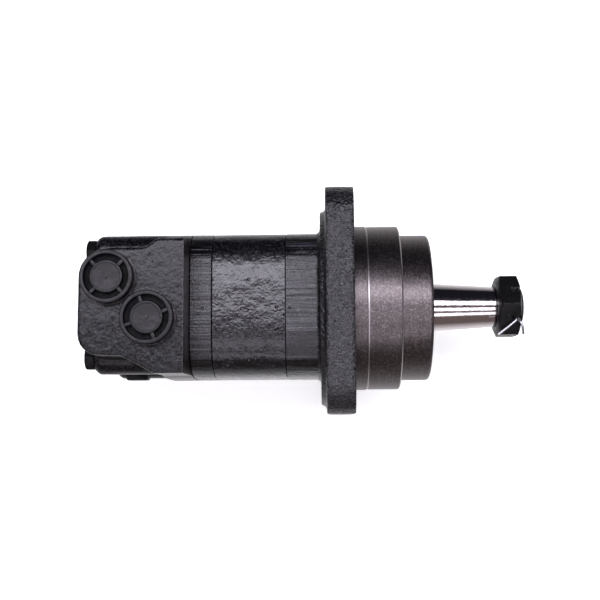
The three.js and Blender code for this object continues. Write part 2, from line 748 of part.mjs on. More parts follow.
place("plate_o_ring", plainRing([plateFace - 1.15, plateFace - 0.05], ...sealSpan), RUBBER);
place("valve_o_ring", plainRing([valveFace - 1.15, valveFace - 0.05], ...sealSpan), RUBBER);
const wearSpan = [housingFace + 0.05, WEAR_PLATE.front];
place("wear_plate", plainRing(wearSpan, WEAR_PLATE.inner, WEAR_PLATE.outer), GROUND_STEEL);

// The shaft and what turns with it
place("output_shaft", outputShaft(), BRIGHT_STEEL);
place("shaft_key", keySolid(KEY.width, 0), GROUND_STEEL, [KEY.x, 0, -KEY.top]);
place("castle_nut", castleNut(), BLACK_OXIDE);
place("cotter_pin", cotterPin(), ZINC);
place("bearing_lock_nut", lockNut(), BLACK_OXIDE);
const spacerSpan = [REAR_BEARING[1] + GAP, FRONT_BEARING[0] - GAP];
place("bearing_spacer", plainRing(spacerSpan, SHAFT.rearSeat + GAP, 26.5), GROUND_STEEL);

// Bearings
const rearBearing = rollerBearing(REAR_BEARING, SHAFT.rearSeat + GAP, CUP_SEAT.rear - GAP, true);
const frontSpan = [FRONT_BEARING[0] + GAP, FRONT_BEARING[1]];
const frontBearing = rollerBearing(frontSpan, SHAFT.frontSeat + GAP, CUP_SEAT.front - GAP, false);
place("rear_bearing_cup", rearBearing.cup.translate(-GAP, 0, 0), GROUND_STEEL);
place("rear_bearing_cone", rearBearing.cone, GROUND_STEEL);
place("rear_bearing_rollers", rearBearing.rollers, GROUND_STEEL);
place("front_bearing_cup", frontBearing.cup, GROUND_STEEL);
place("front_bearing_cone", frontBearing.cone, GROUND_STEEL);
place("front_bearing_rollers", frontBearing.rollers, GROUND_STEEL);

// Seals of the shaft
place("seal_carrier", sealCarrier(), TURNED_IRON);
place("carrier_o_ring", plainRing([42.9, 44.2], 33.7, 34.6), RUBBER);
place("shaft_seal", lipSeal([41.4, 44.3], 23.9, SHAFT.sealLand + 0.3), RUBBER);
place("dust_seal", lipSeal([45.6, 48.2], 22.1, SHAFT.sealLand + 0.3), RUBBER);
place("seal_snap_ring", snapRing(), GROUND_STEEL);

// Geroler and drives: the star's axis goes round the motor's axis
const starLength = STAR_X[1] - STAR_X[0];
rollAngles().forEach((angle, k) => {
  const centre = [PITCH_RADIUS * Math.cos(angle), PITCH_RADIUS * Math.sin(angle)];
  const roll = rod([0, 0, 0], [starLength, 0, 0], ROLL_RADIUS, 16);
  place(`roll_${k + 1}`, roll, GROUND_STEEL, [STAR_X[0], ...centre]);
});
const starAxis = new THREE.Group();
starAxis.position.y = ORBIT;
motor.add(starAxis);
const star = cut(prism(starShape(), STAR_X), splineVoid([STAR_X[0] - 1, STAR_X[1] + 1]));
place("star", star, GROUND_STEEL, [0, 0, 0], starAxis);
place("drive_spacer", rod([-70.5, 0, 0], [-67.5, 0, 0], 10.5, 20), GROUND_STEEL, [0, 0, 0], starAxis);
place("main_drive", mainDrive(), GROUND_STEEL, [MAIN_DRIVE.front, 0, 0]).rotation.z = -driveAngle(
  MAIN_DRIVE.front,
  MAIN_DRIVE.rear,
);
place("valve_drive", valveDrive(), GROUND_STEEL, [VALVE_DRIVE.rear, 0, 0]).rotation.z = driveAngle(
  VALVE_DRIVE.rear,
  VALVE_DRIVE.front,
);

// Disc valve and what presses it against its plate
place("disc_valve", discValve(), GROUND_STEEL);
place("balance_ring", balanceRing(), BRONZE);
place("balance_seal", plainRing([-123.9, -122.2], 25.1, 26.5), RUBBER);
[30, 150, 250].forEach((degrees, k) => {
  const angle = THREE.MathUtils.degToRad(degrees);
  const centre = [BALANCE.springCircle * Math.cos(angle), BALANCE.springCircle * Math.sin(angle)];
  place(`balance_spring_${k + 1}`, balanceSpring(), ZINC, [CHAMBER.ringEnd, ...centre]);
});
balancePins().forEach(([y, z], k) => {
  const pin = rod([CHAMBER.ringEnd + GAP, y, z], [BALANCE.x[0] + 4.5, y, z], BALANCE.pin, 10);
  place(`balance_pin_${k + 1}`, pin, GROUND_STEEL);
});

export default motor;
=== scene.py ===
"""Orbital hydraulic wheel motor: the fine surfaces, finishes, floor, light and camera."""
import json
import math

import bmesh
import bpy
from mathutils import Matrix, Vector, noise


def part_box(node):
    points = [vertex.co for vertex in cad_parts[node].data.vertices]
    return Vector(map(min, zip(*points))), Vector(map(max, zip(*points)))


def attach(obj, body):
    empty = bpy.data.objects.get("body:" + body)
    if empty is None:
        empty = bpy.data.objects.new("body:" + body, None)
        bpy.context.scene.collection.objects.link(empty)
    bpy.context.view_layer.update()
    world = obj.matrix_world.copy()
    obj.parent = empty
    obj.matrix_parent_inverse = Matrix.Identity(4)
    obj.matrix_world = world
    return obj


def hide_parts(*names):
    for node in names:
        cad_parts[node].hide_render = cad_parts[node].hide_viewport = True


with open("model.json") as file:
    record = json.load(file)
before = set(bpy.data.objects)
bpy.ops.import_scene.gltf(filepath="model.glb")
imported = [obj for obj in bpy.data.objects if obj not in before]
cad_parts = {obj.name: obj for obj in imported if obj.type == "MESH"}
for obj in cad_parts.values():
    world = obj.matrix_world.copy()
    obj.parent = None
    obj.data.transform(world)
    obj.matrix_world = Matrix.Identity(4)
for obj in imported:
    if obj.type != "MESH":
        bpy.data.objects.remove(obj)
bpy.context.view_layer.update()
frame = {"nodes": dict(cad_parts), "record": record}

MM = 0.001
SHARP = 34  # degrees over which an edge stays sharp

# ---------------------------------------------------------------- sizes, in millimetres


def span(node, axis):
    """Where a CAD node starts and ends along an axis."""
    low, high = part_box(node)
    return low["XYZ".index(axis)] / MM, high["XYZ".index(axis)] / MM


HOUSING_REAR, NOSE_END = span("bearing_housing", "X")
RING_SPAN = span("geroler_ring", "X")
PLATE_SPAN = span("valve_plate", "X")
VALVE_REAR, VALVE_FRONT = span("valve_housing", "X")
BODY_HALF = span("geroler_ring", "Y")[1]
BODY_CORNER = 24
FLANGE_HALF = span("bearing_housing", "Y")[1]
SKIN_ROOM = 0.1  # kept free round the flange for the swells of its cast skin
FLANGE = {"corner": 18.6, "thick": 17.5, "hole": 6.8, "spread": 52.19}
SHOULDER = {"rear": -21, "radius": 63.75}
PILOT = {"end": 8, "radius": 53.975, "groove": 0.5, "groove_width": 0.9}
NOSE = {"step": 29.8, "radius": 53.65, "front_radius": 47.7, "faced": 57.5}
BOLT = {"spread": 33.5, "hole": 5.15, "flats": 14.3, "head": 5.8, "radius": 4.76, "tip": -22.5}
LUG = {"radius": 10.5, "rear": VALVE_REAR + 3.2, "front": -118, "taper": 2.2, "lip": 3, "spot": 9.1}
CORE = {"half": 41, "corner": 19, "front": -120}
FULL_SECTION_REAR = -121
# Each step of a bore: where it starts along the shaft, and its radius.
NOSE_BORE = [(HOUSING_REAR - 6, 38.8), (-37.4, 37.5), (6, 31), (15, 34), (34.3, 35), (46.6, 36.9)]
BORE_MOUTH = [(48.8, 35.3), (NOSE_END + 1, 36.6), (NOSE_END + 1, 0)]
CHAMBERS = [(-150, 15), (-132.2, 27), (-118.6, 31.5)]
GEROLER = {"bore": 34.3, "roll_circle": 33.3, "pocket": 6.35}
PLATE = {"bore": 17, "port_circle": 27, "port": 3.2}
SEAL_GROOVE = {"inner": 40, "outer": 41.8, "depth": 1.4}

PAD_TOP = span("valve_housing", "Z")[1]
PAD = {"foot": 22, "low": -44.9, "high": 36, "reach": 18.2, "corner": 13, "corner_y": -21}
PORT_CENTRES = {"port_cap_a": (-147, 12.2), "port_cap_b": (-122.9, -12.2)}
PORT = {"radius": 11.1, "floor": 49, "passage": 6, "spot": 16.4, "spot_depth": 0.5}
CAP_TURN = {"port_cap_a": 45, "port_cap_b": 20}
DRAIN = {"x": -142, "radius": 5.3, "seat": -40.2, "spot": 10.5, "flats": 14.3, "end": -46.4}
DRAIN_PLACE = Matrix.Translation((DRAIN["x"] * MM, 0, 0)) @ Matrix.Rotation(-math.pi / 2, 4, "Z")

SHAFT_REAR, SHAFT_END = span("output_shaft", "X")
TAPER = {"start": 49.3, "radius": 15.875, "end": 93.2, "end_radius": 13.13}
THREAD = {"radius": 12.6, "pitch": 1.27, "depth": 0.6}
KEY = {"x": 70, "radius": 12.7, "sink": 1.6, "width": 6.35, "top": 17.8}
NUT_REAR, NUT_FRONT = span("castle_nut", "X")
NUT = {"flats": 38.1, "bore": 12.9, "slot": 3.9, "slot_floor": 102}
PIN = {"x": 105.1, "wire": 0.78, "offset": 0.75, "tilt": math.radians(30), "eye": 2.4}

CORNERS = [(1, 1), (-1, 1), (-1, -1), (1, -1)]
BOLT_CENTRES = [(y * BOLT["spread"], z * BOLT["spread"]) for y, z in CORNERS]
FLAT_ANGLES = [math.radians(60 * k) for k in range(3)]
ROLLS = 7
ROLL_ANGLES = [2 * math.pi * k / ROLLS for k in range(ROLLS)]

# ---------------------------------------------------------------- outlines


def polar(radius, angle):
    return radius * math.cos(angle), radius * math.sin(angle)


def arc(centre, radius, start, end, steps):
    """Points on an arc, its angles in degrees."""
    angles = [math.radians(start + (end - start) * i / steps) for i in range(steps + 1)]
    return [(centre[0] + radius * math.cos(a), centre[1] + radius * math.sin(a)) for a in angles]


def circle(radius, steps=48, centre=(0, 0)):
    return arc(centre, radius, 0, 360, steps)[:-1]


def rounded_square(half, corner, steps=14):
    inner = half - corner
    points = []
    for quarter, (y, z) in enumerate(CORNERS):
        points += arc((y * inner, z * inner), corner, 90 * quarter, 90 * quarter + 90, steps)
    return points


def crowned_square(half, corner, steps=120):
    """A rounded square with slightly crowned sides: a superellipse through the same corners."""
    power = math.log(2) / math.log(half / (half - corner + corner / math.sqrt(2)))
    points = []
    for k in range(steps):
        y, z = math.cos(2 * math.pi * k / steps), math.sin(2 * math.pi * k / steps)
        reach = half / (abs(y) ** power + abs(z) ** power) ** (1 / power)
        points.append((y * reach, z * reach))
    return points


def hexagon(flats):
    """A hexagon with a corner on the second axis."""
    return [polar(flats / math.sqrt(3), math.radians(90 + 60 * k)) for k in range(6)]


def bezier(a, b, c, d, steps=10):
    """A cubic curve between two points, without its first one."""
    curve = []
    for i in range(1, steps + 1):
        t = i / steps
        weights = ((1 - t) ** 3, 3 * t * (1 - t) ** 2, 3 * t * t * (1 - t), t ** 3)
        curve.append(tuple(sum(w * p[k] for w, p in zip(weights, (a, b, c, d))) for k in (0, 1)))
    return curve


def eased(profile, closed=False, steps=4):
    """A profile whose points may have a third value, the radius that rounds that corner."""
    points = []
    for i, point in enumerate(profile):
        ends = (i == 0 or i == len(profile) - 1) and not closed
        if len(point) < 3 or ends:
            points.append(tuple(point[:2]))
            continue
        corner = Vector(point[:2])
        before = Vector(profile[i - 1][:2]) - corner
        after = Vector(profile[(i + 1) % len(profile)][:2]) - corner
        half_angle = before.angle(after) / 2
        reach = min(point[2] / math.tan(half_angle), before.length * 0.45, after.length * 0.45)
        first, last = corner + before.normalized() * reach, corner + after.normalized() * reach
        for k in range(steps + 1):
            t = k / steps
            on_curve = first * (1 - t) ** 2 + corner * 2 * t * (1 - t) + last * t * t
            points.append(tuple(on_curve))
    return points


# ---------------------------------------------------------------- solids


def to_object(name, bm, sharp=SHARP):
    """An object from a mesh in millimetres, smooth except over edges sharper than the angle."""
    bmesh.ops.remove_doubles(bm, verts=bm.verts, dist=1e-4)
    bmesh.ops.recalc_face_normals(bm, faces=bm.faces)
    mesh = bpy.data.meshes.new(name)
    bm.to_mesh(mesh)
    bm.free()
    mesh.transform(Matrix.Scale(MM, 4))
    obj = bpy.data.objects.new(name, mesh)
    bpy.context.scene.collection.objects.link(obj)
    shade(obj, sharp)
    return obj


def shade(obj, sharp=SHARP):
    obj.data.shade_smooth()
    obj.data.set_sharp_from_angle(angle=math.radians(sharp))
    return obj


def loft(name, rows, closed, sharp=SHARP):
    """Joins rows of points into a skin. A row of one point is a pole; others have equal counts."""
    bm = bmesh.new()
    rings = [[bm.verts.new(p) for p in row] for row in rows]
    pairs = list(zip(rings, rings[1:])) + ([(rings[-1], rings[0])] if closed else [])
    for a, b in pairs:
        count = max(len(a), len(b))
        for i in range(count if count > 1 else 0):
            j = (i + 1) % count
            corners = [a[i % len(a)], a[j % len(a)], b[j % len(b)], b[i % len(b)]]
            bm.faces.new(list(dict.fromkeys(corners)))
    return to_object(name, bm, sharp)


def turned(name, profile, sides=128, closed=False, axis="X", relief=None):
    """Turned about an axis from (place, radius) points. Relief gives a radius for a place and angle."""
    rows = []
    for place, radius in eased(profile, closed):
        if radius < 1e-6:
            rows.append([(place, 0, 0) if axis == "X" else (0, 0, place)])
            continue
        row = []
        for k in range(sides):
            angle = 2 * math.pi * k / sides
            y, z = polar(relief(place, angle, radius) if relief else radius, angle)
            row.append((place, y, z) if axis == "X" else (y, z, place))
        rows.append(row)
    return loft(name, rows, closed)


def stepped(steps, end):
    """The profile of a bore whose steps each run on to the next one's place, the last to an end."""
    stops = [step[0] for step in steps[1:]] + [end]
    profile = [(steps[0][0], 0)]
    for (start, radius), stop in zip(steps, stops):
        profile += [(start, radius), (stop, radius)]
    return profile + [(end, 0)]


def prism(name, outline, ends, axis="X", bevel=0.0):
    """An outline in Y and Z extruded along X, or one in X and Y extruded along Z."""
    bm = bmesh.new()
    rings = []
    for t in ends:
        rings.append([bm.verts.new((t, *p) if axis == "X" else (*p, t)) for p in outline])
    count = len(outline)
    for i in range(count):
        j = (i + 1) % count
        bm.faces.new((rings[0][i], rings[0][j], rings[1][j], rings[1][i]))
    bm.faces.new(rings[0])
    bm.faces.new(rings[1])
    obj = to_object(name, bm)
    return soften(obj, bevel) if bevel else obj


def block(name, x, y, z, bevel=0.0):
    return prism(name, [(y[0], z[0]), (y[1], z[0]), (y[1], z[1]), (y[0], z[1])], x, bevel=bevel)


def bake(obj):
    """Applies an object's modifiers."""
    graph = bpy.context.evaluated_depsgraph_get()
    old = obj.data
    obj.data = bpy.data.meshes.new_from_object(obj.evaluated_get(graph))
    obj.modifiers.clear()
    name = old.name
    bpy.data.meshes.remove(old)
    obj.data.name = name
    return obj


def soften(obj, width):
    """Rounds the edges of more than 40 degrees."""
    bevel = obj.modifiers.new("bevel", "BEVEL")
    bevel.width = width * MM
    bevel.segments = 2
    bevel.limit_method = "ANGLE"
    bevel.angle_limit = math.radians(40)
    return shade(bake(obj))


def combine(obj, tools, operation):
    """Joins tools to an object or cuts them out of it, and removes the tools."""
    for tool in tools:
        boolean = obj.modifiers.new("boolean", "BOOLEAN")
        boolean.operation = operation
        boolean.solver = "MANIFOLD"
        boolean.object = tool
    bake(obj)
    for tool in tools:
        bpy.data.objects.remove(tool)
    return shade(obj)


def cut(obj, *tools):
    return combine(obj, tools, "DIFFERENCE")


def join(obj, *tools):
    return combine(obj, tools, "UNION")


def hole(ends, centre, radius, sides=40, axis="X"):
    """A cylinder, to cut a hole with or to add."""
    return prism("tool", circle(radius, sides, centre), ends, axis)


def cast(obj, voxel, seed):
    """Gives joined solids the soft inner corners, rounded edges and uneven skin of a casting."""
    remesh = obj.modifiers.new("remesh", "REMESH")
    remesh.mode = "VOXEL"
    remesh.voxel_size = voxel * MM
    bake(obj)
    smooth = obj.modifiers.new("smooth", "SMOOTH")
    smooth.factor = 0.5
    smooth.iterations = 5
    bake(obj)
    relief = 0.06
    offset = Vector((seed, seed * 1.7, -seed))
    normals = [vertex.normal.copy() for vertex in obj.data.vertices]
    for vertex, normal in zip(obj.data.vertices, normals):
        place = vertex.co / MM
        wave = noise.noise(place / 9 + offset) * 1.4 + noise.noise(place / 3.2 + offset)
        vertex.co += normal * wave * relief * MM
    return shade(obj, 60)


def tube(name, points, radius, sides=14):
    """A round wire along a smooth curve through the points, with rounded ends."""
    path = []
    padded = [points[0], *points, points[-1]]
    for i in range(1, len(padded) - 2):
        p = [Vector(q) for q in padded[i - 1:i + 3]]
        for k in range(6):
            t = k / 6
            path.append(0.5 * (2 * p[1] + (p[2] - p[0]) * t
                        + (2 * p[0] - 5 * p[1] + 4 * p[2] - p[3]) * t * t
                        + (3 * p[1] - p[0] - 3 * p[2] + p[3]) * t ** 3))
    path.append(Vector(points[-1]))
    tangents = [(path[min(i + 1, len(path) - 1)] - path[max(i - 1, 0)]).normalized()
                for i in range(len(path))]
    side = tangents[0].orthogonal().normalized()
    rows = [[tuple(path[0] - tangents[0] * radius * 0.5)]]
    for i, (place, along) in enumerate(zip(path, tangents)):
        side = (side - along * side.dot(along)).normalized()
        other = along.cross(side)
        rings = [(-0.3, 0.75)] if i == 0 else []
        rings.append((0, 1))
        rings += [(0.3, 0.75)] if i == len(path) - 1 else []
        for shift, size in rings:
            middle = place + along * shift * radius
            rows.append([tuple(middle + (side * math.cos(a) + other * math.sin(a)) * radius * size)
                         for a in (2 * math.pi * k / sides for k in range(sides))])
    rows.append([tuple(path[-1] + tangents[-1] * radius * 0.5)])
    return loft(name, rows, closed=False, sharp=60)


def paint_faces(obj, materials, rule):
    """Gives each face the material whose number the rule returns for its centre, in millimetres."""
    obj.data.materials.clear()
    for material in materials:
        obj.data.materials.append(material)
    for face in obj.data.polygons:
        face.material_index = rule(face.center / MM, face.normal)


def all_over(centre, normal):
    """A rule for paint_faces: one finish on the whole piece."""
    return 0


def fit(obj, body, slot, *nodes):
    """Lets a finished piece ride on its body, in place of its CAD nodes."""
    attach(obj, body)
    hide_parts(*nodes)


# ---------------------------------------------------------------- materials


class Surface:
    """A material whose nodes read the object's own coordinates, in metres."""

    def __init__(self, name, **values):
        self.material = bpy.data.materials.new(name)
        self.material.use_nodes = True
        self.nodes = self.material.node_tree.nodes
        self.links = self.material.node_tree.links
        self.shader = self.nodes["Principled BSDF"]
        self.place = self.nodes.new("ShaderNodeTexCoord").outputs["Object"]
        for key, value in values.items():
            self.shader.inputs[key.replace("_", " ")].default_value = value

    def node(self, kind, inputs=(), **settings):
        made = self.nodes.new("ShaderNode" + kind)
        for key, value in settings.items():
            setattr(made, key, value)
        for key, value in dict(inputs).items():
            if isinstance(value, bpy.types.NodeSocket):
                self.links.new(value, made.inputs[key])
            else:
                made.inputs[key].default_value = value
        return made

    def stretched(self, scale):
        return self.node("Mapping", {"Vector": self.place, "Scale": scale}).outputs["Vector"]

    def grain(self, size, detail=3.0, rough=0.55, stretch=(1, 1, 1)):
        """Noise whose features are about a size in millimetres, longer where stretch is small."""
        inputs = {"Vector": self.stretched(stretch), "Scale": 1 / (size * MM),
                  "Detail": detail, "Roughness": rough}
        return self.node("TexNoise", inputs).outputs["Fac"]

    def pits(self, spacing, radius, share):
        """Round pits, in a share of the cells of a pattern: 1 in a pit and 0 outside."""
        cells = self.node("TexVoronoi", {"Vector": self.place, "Scale": 1 / (spacing * MM)})
        inside = self.fall(cells.outputs["Distance"], radius * 0.55, radius)
        lucky = self.fall(cells.outputs["Color"], share * 0.9, share)
        return self.math("MULTIPLY", inside, lucky)

    def ramp(self, value, low, high, first=0.0, last=1.0):
        """Runs from a first number where the value is low to a last one where it is high."""
        inputs = {"Value": value, "From Min": low, "From Max": high, "To Min": first, "To Max": last}
        return self.node("MapRange", inputs).outputs["Result"]

    def fall(self, value, low, high):
        return self.ramp(value, low, high, 1.0, 0.0)

    def math(self, operation, a, b=0.0):
        return self.node("Math", {0: a, 1: b}, operation=operation).outputs[0]

    def between(self, value, low, high):
        """Stretches noise over a range of numbers."""
        return self.ramp(value, 0.3, 0.7, low, high)

    def mix(self, factor, a, b):
        """A colour between two, which are sockets or red, green and blue."""
        mixer = self.node("Mix", {0: factor}, data_type="RGBA")
        for index, colour in ((6, a), (7, b)):
            if isinstance(colour, bpy.types.NodeSocket):
                self.links.new(colour, mixer.inputs[index])
            else:
                mixer.inputs[index].default_value = (*colour, 1)
        return mixer.outputs[2]

    def near(self, x, reach):
        """1 on the plane at an X in millimetres, and 0 from the reach away on either side."""
        along = self.node("SeparateXYZ", {"Vector": self.place}).outputs["X"]
        away = self.math("ABSOLUTE", self.math("SUBTRACT", along, x * MM))
        return self.fall(away, reach * MM * 0.5, reach * MM)

    def colour(self, socket):
        self.links.new(socket, self.shader.inputs["Base Color"])

    def roughness(self, socket):
        self.links.new(socket, self.shader.inputs["Roughness"])

    def bump(self, *layers):
        """Stacks height layers, each a socket with its depth in millimetres."""
        below = None
        for height, depth in layers:
            inputs = {"Height": height, "Distance": depth * MM, "Strength": 1.0}
            if below:
                inputs["Normal"] = below
            below = self.node("Bump", inputs).outputs["Normal"]
        self.links.new(below, self.shader.inputs["Normal"])


def cast_paint(name, gloss, swell, sand):
    """Satin black paint over a sand casting, with the depths of its swells and of its sand grain."""
    s = Surface(name, Specular_IOR_Level=gloss)
    body = s.mix(s.grain(14, 3), (0.0016, 0.0015, 0.0019), (0.0036, 0.0034, 0.0043))
    speckle = s.grain(1.5, 4, 0.8)
    body = s.mix(s.ramp(speckle, 0.5, 0.68), body, (0.03, 0.0295, 0.035))
    worn = s.ramp(s.grain(5, 5, 0.7), 0.64, 0.74)
    s.colour(s.mix(worn, body, (0.03, 0.02, 0.016)))
    s.roughness(s.between(speckle, 0.16, 0.4))
    s.bump((s.grain(4, 3, 0.5), swell), (s.grain(1.6, 2, 0.5), sand), (s.pits(3.1, 0.22, 0.25), -0.3))
    return s.material


def hammered_paint():
    """Glossy black paint over rough iron."""
    s = Surface("hammered_paint", Specular_IOR_Level=0.56)
    body = s.mix(s.grain(9, 3), (0.0016, 0.0015, 0.0019), (0.0034, 0.0032, 0.0041))
    speckle = s.grain(1.9, 4, 0.75)
    s.colour(s.mix(s.ramp(speckle, 0.5, 0.7), body, (0.026, 0.025, 0.03)))
    s.roughness(s.between(s.grain(2.5, 3), 0.16, 0.3))
    s.bump((s.grain(6, 2, 0.5), 0.4), (s.grain(1.8, 2, 0.5), 0.18), (s.pits(4.4, 0.26, 0.2), -0.6))
    return s.material


def milled_paint():
    """Black paint over a section milled lengthwise."""
    s = Surface("milled_paint", Specular_IOR_Level=0.5)
    fine = s.grain(1.5, 3, 0.65, (0.02, 1, 1))
    wide = s.grain(5, 2, 0.5, (0.015, 1, 1))
    speckle = s.grain(1.7, 4, 0.7)
    body = s.mix(s.grain(12, 3), (0.0016, 0.0015, 0.002), (0.0036, 0.0034, 0.0043))
    s.colour(s.mix(s.ramp(fine, 0.54, 0.66), body, (0.05, 0.048, 0.057)))
    s.roughness(s.between(s.grain(3, 3), 0.15, 0.32))
    s.bump((wide, 0.7), (fine, 0.3), (speckle, 0.2), (s.pits(4.2, 0.24, 0.2), -0.5))
    return s.material


def turned_iron():
    """Cast iron with fine turning marks, darkened with oil, and two painted highlights along its edges.
    """
    s = Surface("turned_iron", Metallic=1.0)
    rings = s.grain(0.9, 2, 0.6, (1, 0.02, 0.02))
    mottle = s.grain(1.2, 3, 0.6)
    body = s.mix(s.grain(11, 3), (0.075, 0.063, 0.06), (0.105, 0.09, 0.088))
    body = s.mix(s.ramp(rings, 0.4, 0.75), body, (0.12, 0.107, 0.107))
    body = s.mix(s.ramp(mottle, 0.48, 0.68), body, (0.19, 0.174, 0.178))
    # Thin bright rings at the pilot's groove and the nose's step: painted highlights along those edges.
    edges = [s.near(x, 0.45) for x in (PILOT["end"] + 0.9, NOSE["step"] - 0.3)]
    s.colour(s.mix(s.math("MAXIMUM", *edges), body, (0.5, 0.48, 0.48)))
    s.roughness(s.between(mottle, 0.3, 0.42))
    s.bump((rings, 0.015), (mottle, 0.1))
    return s.material


def bright_steel():
    """A ground shaft: fine rings round it and a few handling marks."""
    s = Surface("bright_steel", Metallic=1.0)
    rings = s.grain(0.3, 2, 0.6, (1, 0.01, 0.01))
    body = s.mix(s.grain(6, 3), (0.62, 0.575, 0.57), (0.7, 0.665, 0.67))
    s.colour(s.mix(s.ramp(s.grain(1.5, 4, 0.7), 0.62, 0.7), body, (0.42, 0.37, 0.36)))
    s.roughness(s.between(rings, 0.07, 0.15))
    s.bump((rings, 0.006), (s.grain(2.2, 3), 0.035))
    return s.material


def ground_steel():
    s = Surface("ground_steel", Metallic=1.0)
    lines = s.grain(0.4, 2, 0.6, (1, 0.05, 0.05))
    s.colour(s.mix(s.grain(5, 3), (0.36, 0.36, 0.37), (0.5, 0.5, 0.51)))
    s.roughness(s.between(lines, 0.22, 0.38))
    s.bump((lines, 0.02), (s.grain(2, 3), 0.02))
    return s.material


def black_oxide():
    """Oiled black oxide, rubbed a little on its high spots."""
    s = Surface("black_oxide", Metallic=0.3, Specular_IOR_Level=0.3)
    rubbed = s.ramp(s.grain(3, 5, 0.7), 0.6, 0.72)
    body = s.mix(s.grain(7, 3), (0.003, 0.003, 0.0031), (0.007, 0.0068, 0.007))
    s.colour(s.mix(rubbed, body, (0.03, 0.026, 0.025)))
    s.roughness(s.between(s.grain(1.5, 4), 0.32, 0.5))
    s.bump((s.grain(1.2, 4), 0.05), (s.pits(2.2, 0.2, 0.2), -0.08))
    return s.material


def painted_corner_highlight():
    """Lighter steel colour for the rounded corners of a nut: a painted highlight along its edges."""
    s = Surface("painted_corner_highlight", Metallic=0.9)
    # A lighter steel colour than the black oxide: a painted highlight on the nut's corners.
    s.colour(s.mix(s.ramp(s.grain(2.5, 3), 0.4, 0.6), (0.08, 0.08, 0.082), (0.42, 0.4, 0.4)))
    s.roughness(s.between(s.grain(2, 3), 0.25, 0.45))
    s.bump((s.grain(1.5, 3), 0.04))
    return s.material


def zinc():
    s = Surface("zinc", Metallic=1.0)
    s.colour(s.mix(s.grain(1.6, 4, 0.7), (0.5, 0.5, 0.52), (0.68, 0.68, 0.71)))
    s.roughness(s.between(s.grain(0.9, 3), 0.24, 0.42))
    s.bump((s.grain(0.8, 3), 0.02), (s.grain(3, 2), 0.03))
    return s.material


def cap_plastic():
    """Moulded black polyethylene, with faint flow marks and scuffs."""
    s = Surface("cap_plastic", Specular_IOR_Level=0.32)
    flow = s.grain(7, 3, 0.6, (1, 1, 0.4))
    body = s.mix(flow, (0.0025, 0.0023, 0.0029), (0.0055, 0.0051, 0.0062))
    scuffs = s.ramp(s.grain(2.2, 5, 0.75, (1, 0.35, 1)), 0.6, 0.72)
    s.colour(s.mix(scuffs, body, (0.024, 0.023, 0.027)))
    s.roughness(s.between(s.grain(3, 4), 0.3, 0.48))
    s.bump((s.grain(1.8, 3), 0.16), (s.grain(6, 2), 0.2))
    return s.material


def cap_recess_painted_shade():
    """The same plastic down in the cap's groove, dull, and darker as painted shade."""
    s = Surface("cap_recess_painted_shade", Specular_IOR_Level=0.15)
    # A darker colour than the rest of the cap: painted shade down in its groove and underside.
    s.colour(s.mix(s.grain(3, 3), (0.0014, 0.0013, 0.0016), (0.004, 0.0037, 0.0044)))
    s.roughness(s.between(s.grain(2, 3), 0.55, 0.8))
    s.bump((s.grain(1.8, 3), 0.12))
    return s.material


def rubber():
    s = Surface("rubber", Specular_IOR_Level=0.35)
    s.colour(s.mix(s.grain(2, 4), (0.01, 0.01, 0.01), (0.02, 0.0195, 0.019)))
    s.roughness(s.between(s.grain(1.2, 4), 0.55, 0.8))
    s.bump((s.grain(0.5, 3), 0.02), (s.grain(2.5, 2), 0.03))
    return s.material


def bronze():
    s = Surface("bronze", Metallic=1.0)
    rings = s.grain(0.35, 2, 0.6, (1, 0.015, 0.015))
    body = s.mix(s.grain(4, 4), (0.36, 0.2, 0.09), (0.47, 0.29, 0.14))
    s.colour(s.mix(s.ramp(rings, 0.5, 0.8), body, (0.55, 0.37, 0.2)))
    s.roughness(s.between(rings, 0.26, 0.42))
    s.bump((rings, 0.02), (s.grain(2, 3), 0.02))
    return s.material


def floor_paint():
    s = Surface("floor_paint", Emission_Color=(1, 1, 1, 1), Emission_Strength=0.6)
    s.colour(s.mix(s.grain(60, 3), (0.88, 0.88, 0.88), (0.9, 0.9, 0.9)))
    s.roughness(s.between(s.grain(20, 3), 0.75, 0.85))
    s.bump((s.grain(4, 2), 0.02))
    return s.material


CAST_PAINT = cast_paint("cast_paint", 0.28, 0.22, 0.13)
SAND_PAINT = cast_paint("sand_paint", 0.5, 0.8, 0.95)
HAMMERED_PAINT = hammered_paint()
MILLED_PAINT = milled_paint()
TURNED_IRON = turned_iron()
BRIGHT_STEEL = bright_steel()
GROUND_STEEL = ground_steel()
BLACK_OXIDE = black_oxide()
PAINTED_CORNER_HIGHLIGHT = painted_corner_highlight()
ZINC = zinc()
CAP_PLASTIC = cap_plastic()
CAP_RECESS_PAINTED_SHADE = cap_recess_painted_shade()
RUBBER = rubber()
BRONZE = bronze()
SLOT_FINISH = {
    "black_paint": CAST_PAINT,
    "turned_iron": TURNED_IRON,
    "bright_steel": BRIGHT_STEEL,
    "ground_steel": GROUND_STEEL,
    "black_oxide": BLACK_OXIDE,
    "zinc": ZINC,
    "cap_plastic": CAP_PLASTIC,
    "rubber": RUBBER,
    "bronze": BRONZE,
}

# ---------------------------------------------------------------- the stack of sections


def bolt_holes(ends):
    return [hole(ends, centre, BOLT["hole"], 32) for centre in BOLT_CENTRES]


def seal_groove(face, deeper):
    """The O-ring groove in the face of a section; deeper is +1 if the metal lies towards +X."""
    low, high = sorted((face - deeper, face + deeper * SEAL_GROOVE["depth"]))
    inner, outer = SEAL_GROOVE["inner"], SEAL_GROOVE["outer"]
    profile = [(low, inner), (low, outer), (high, outer), (high, inner)]
    return turned("tool", profile, 96, closed=True)


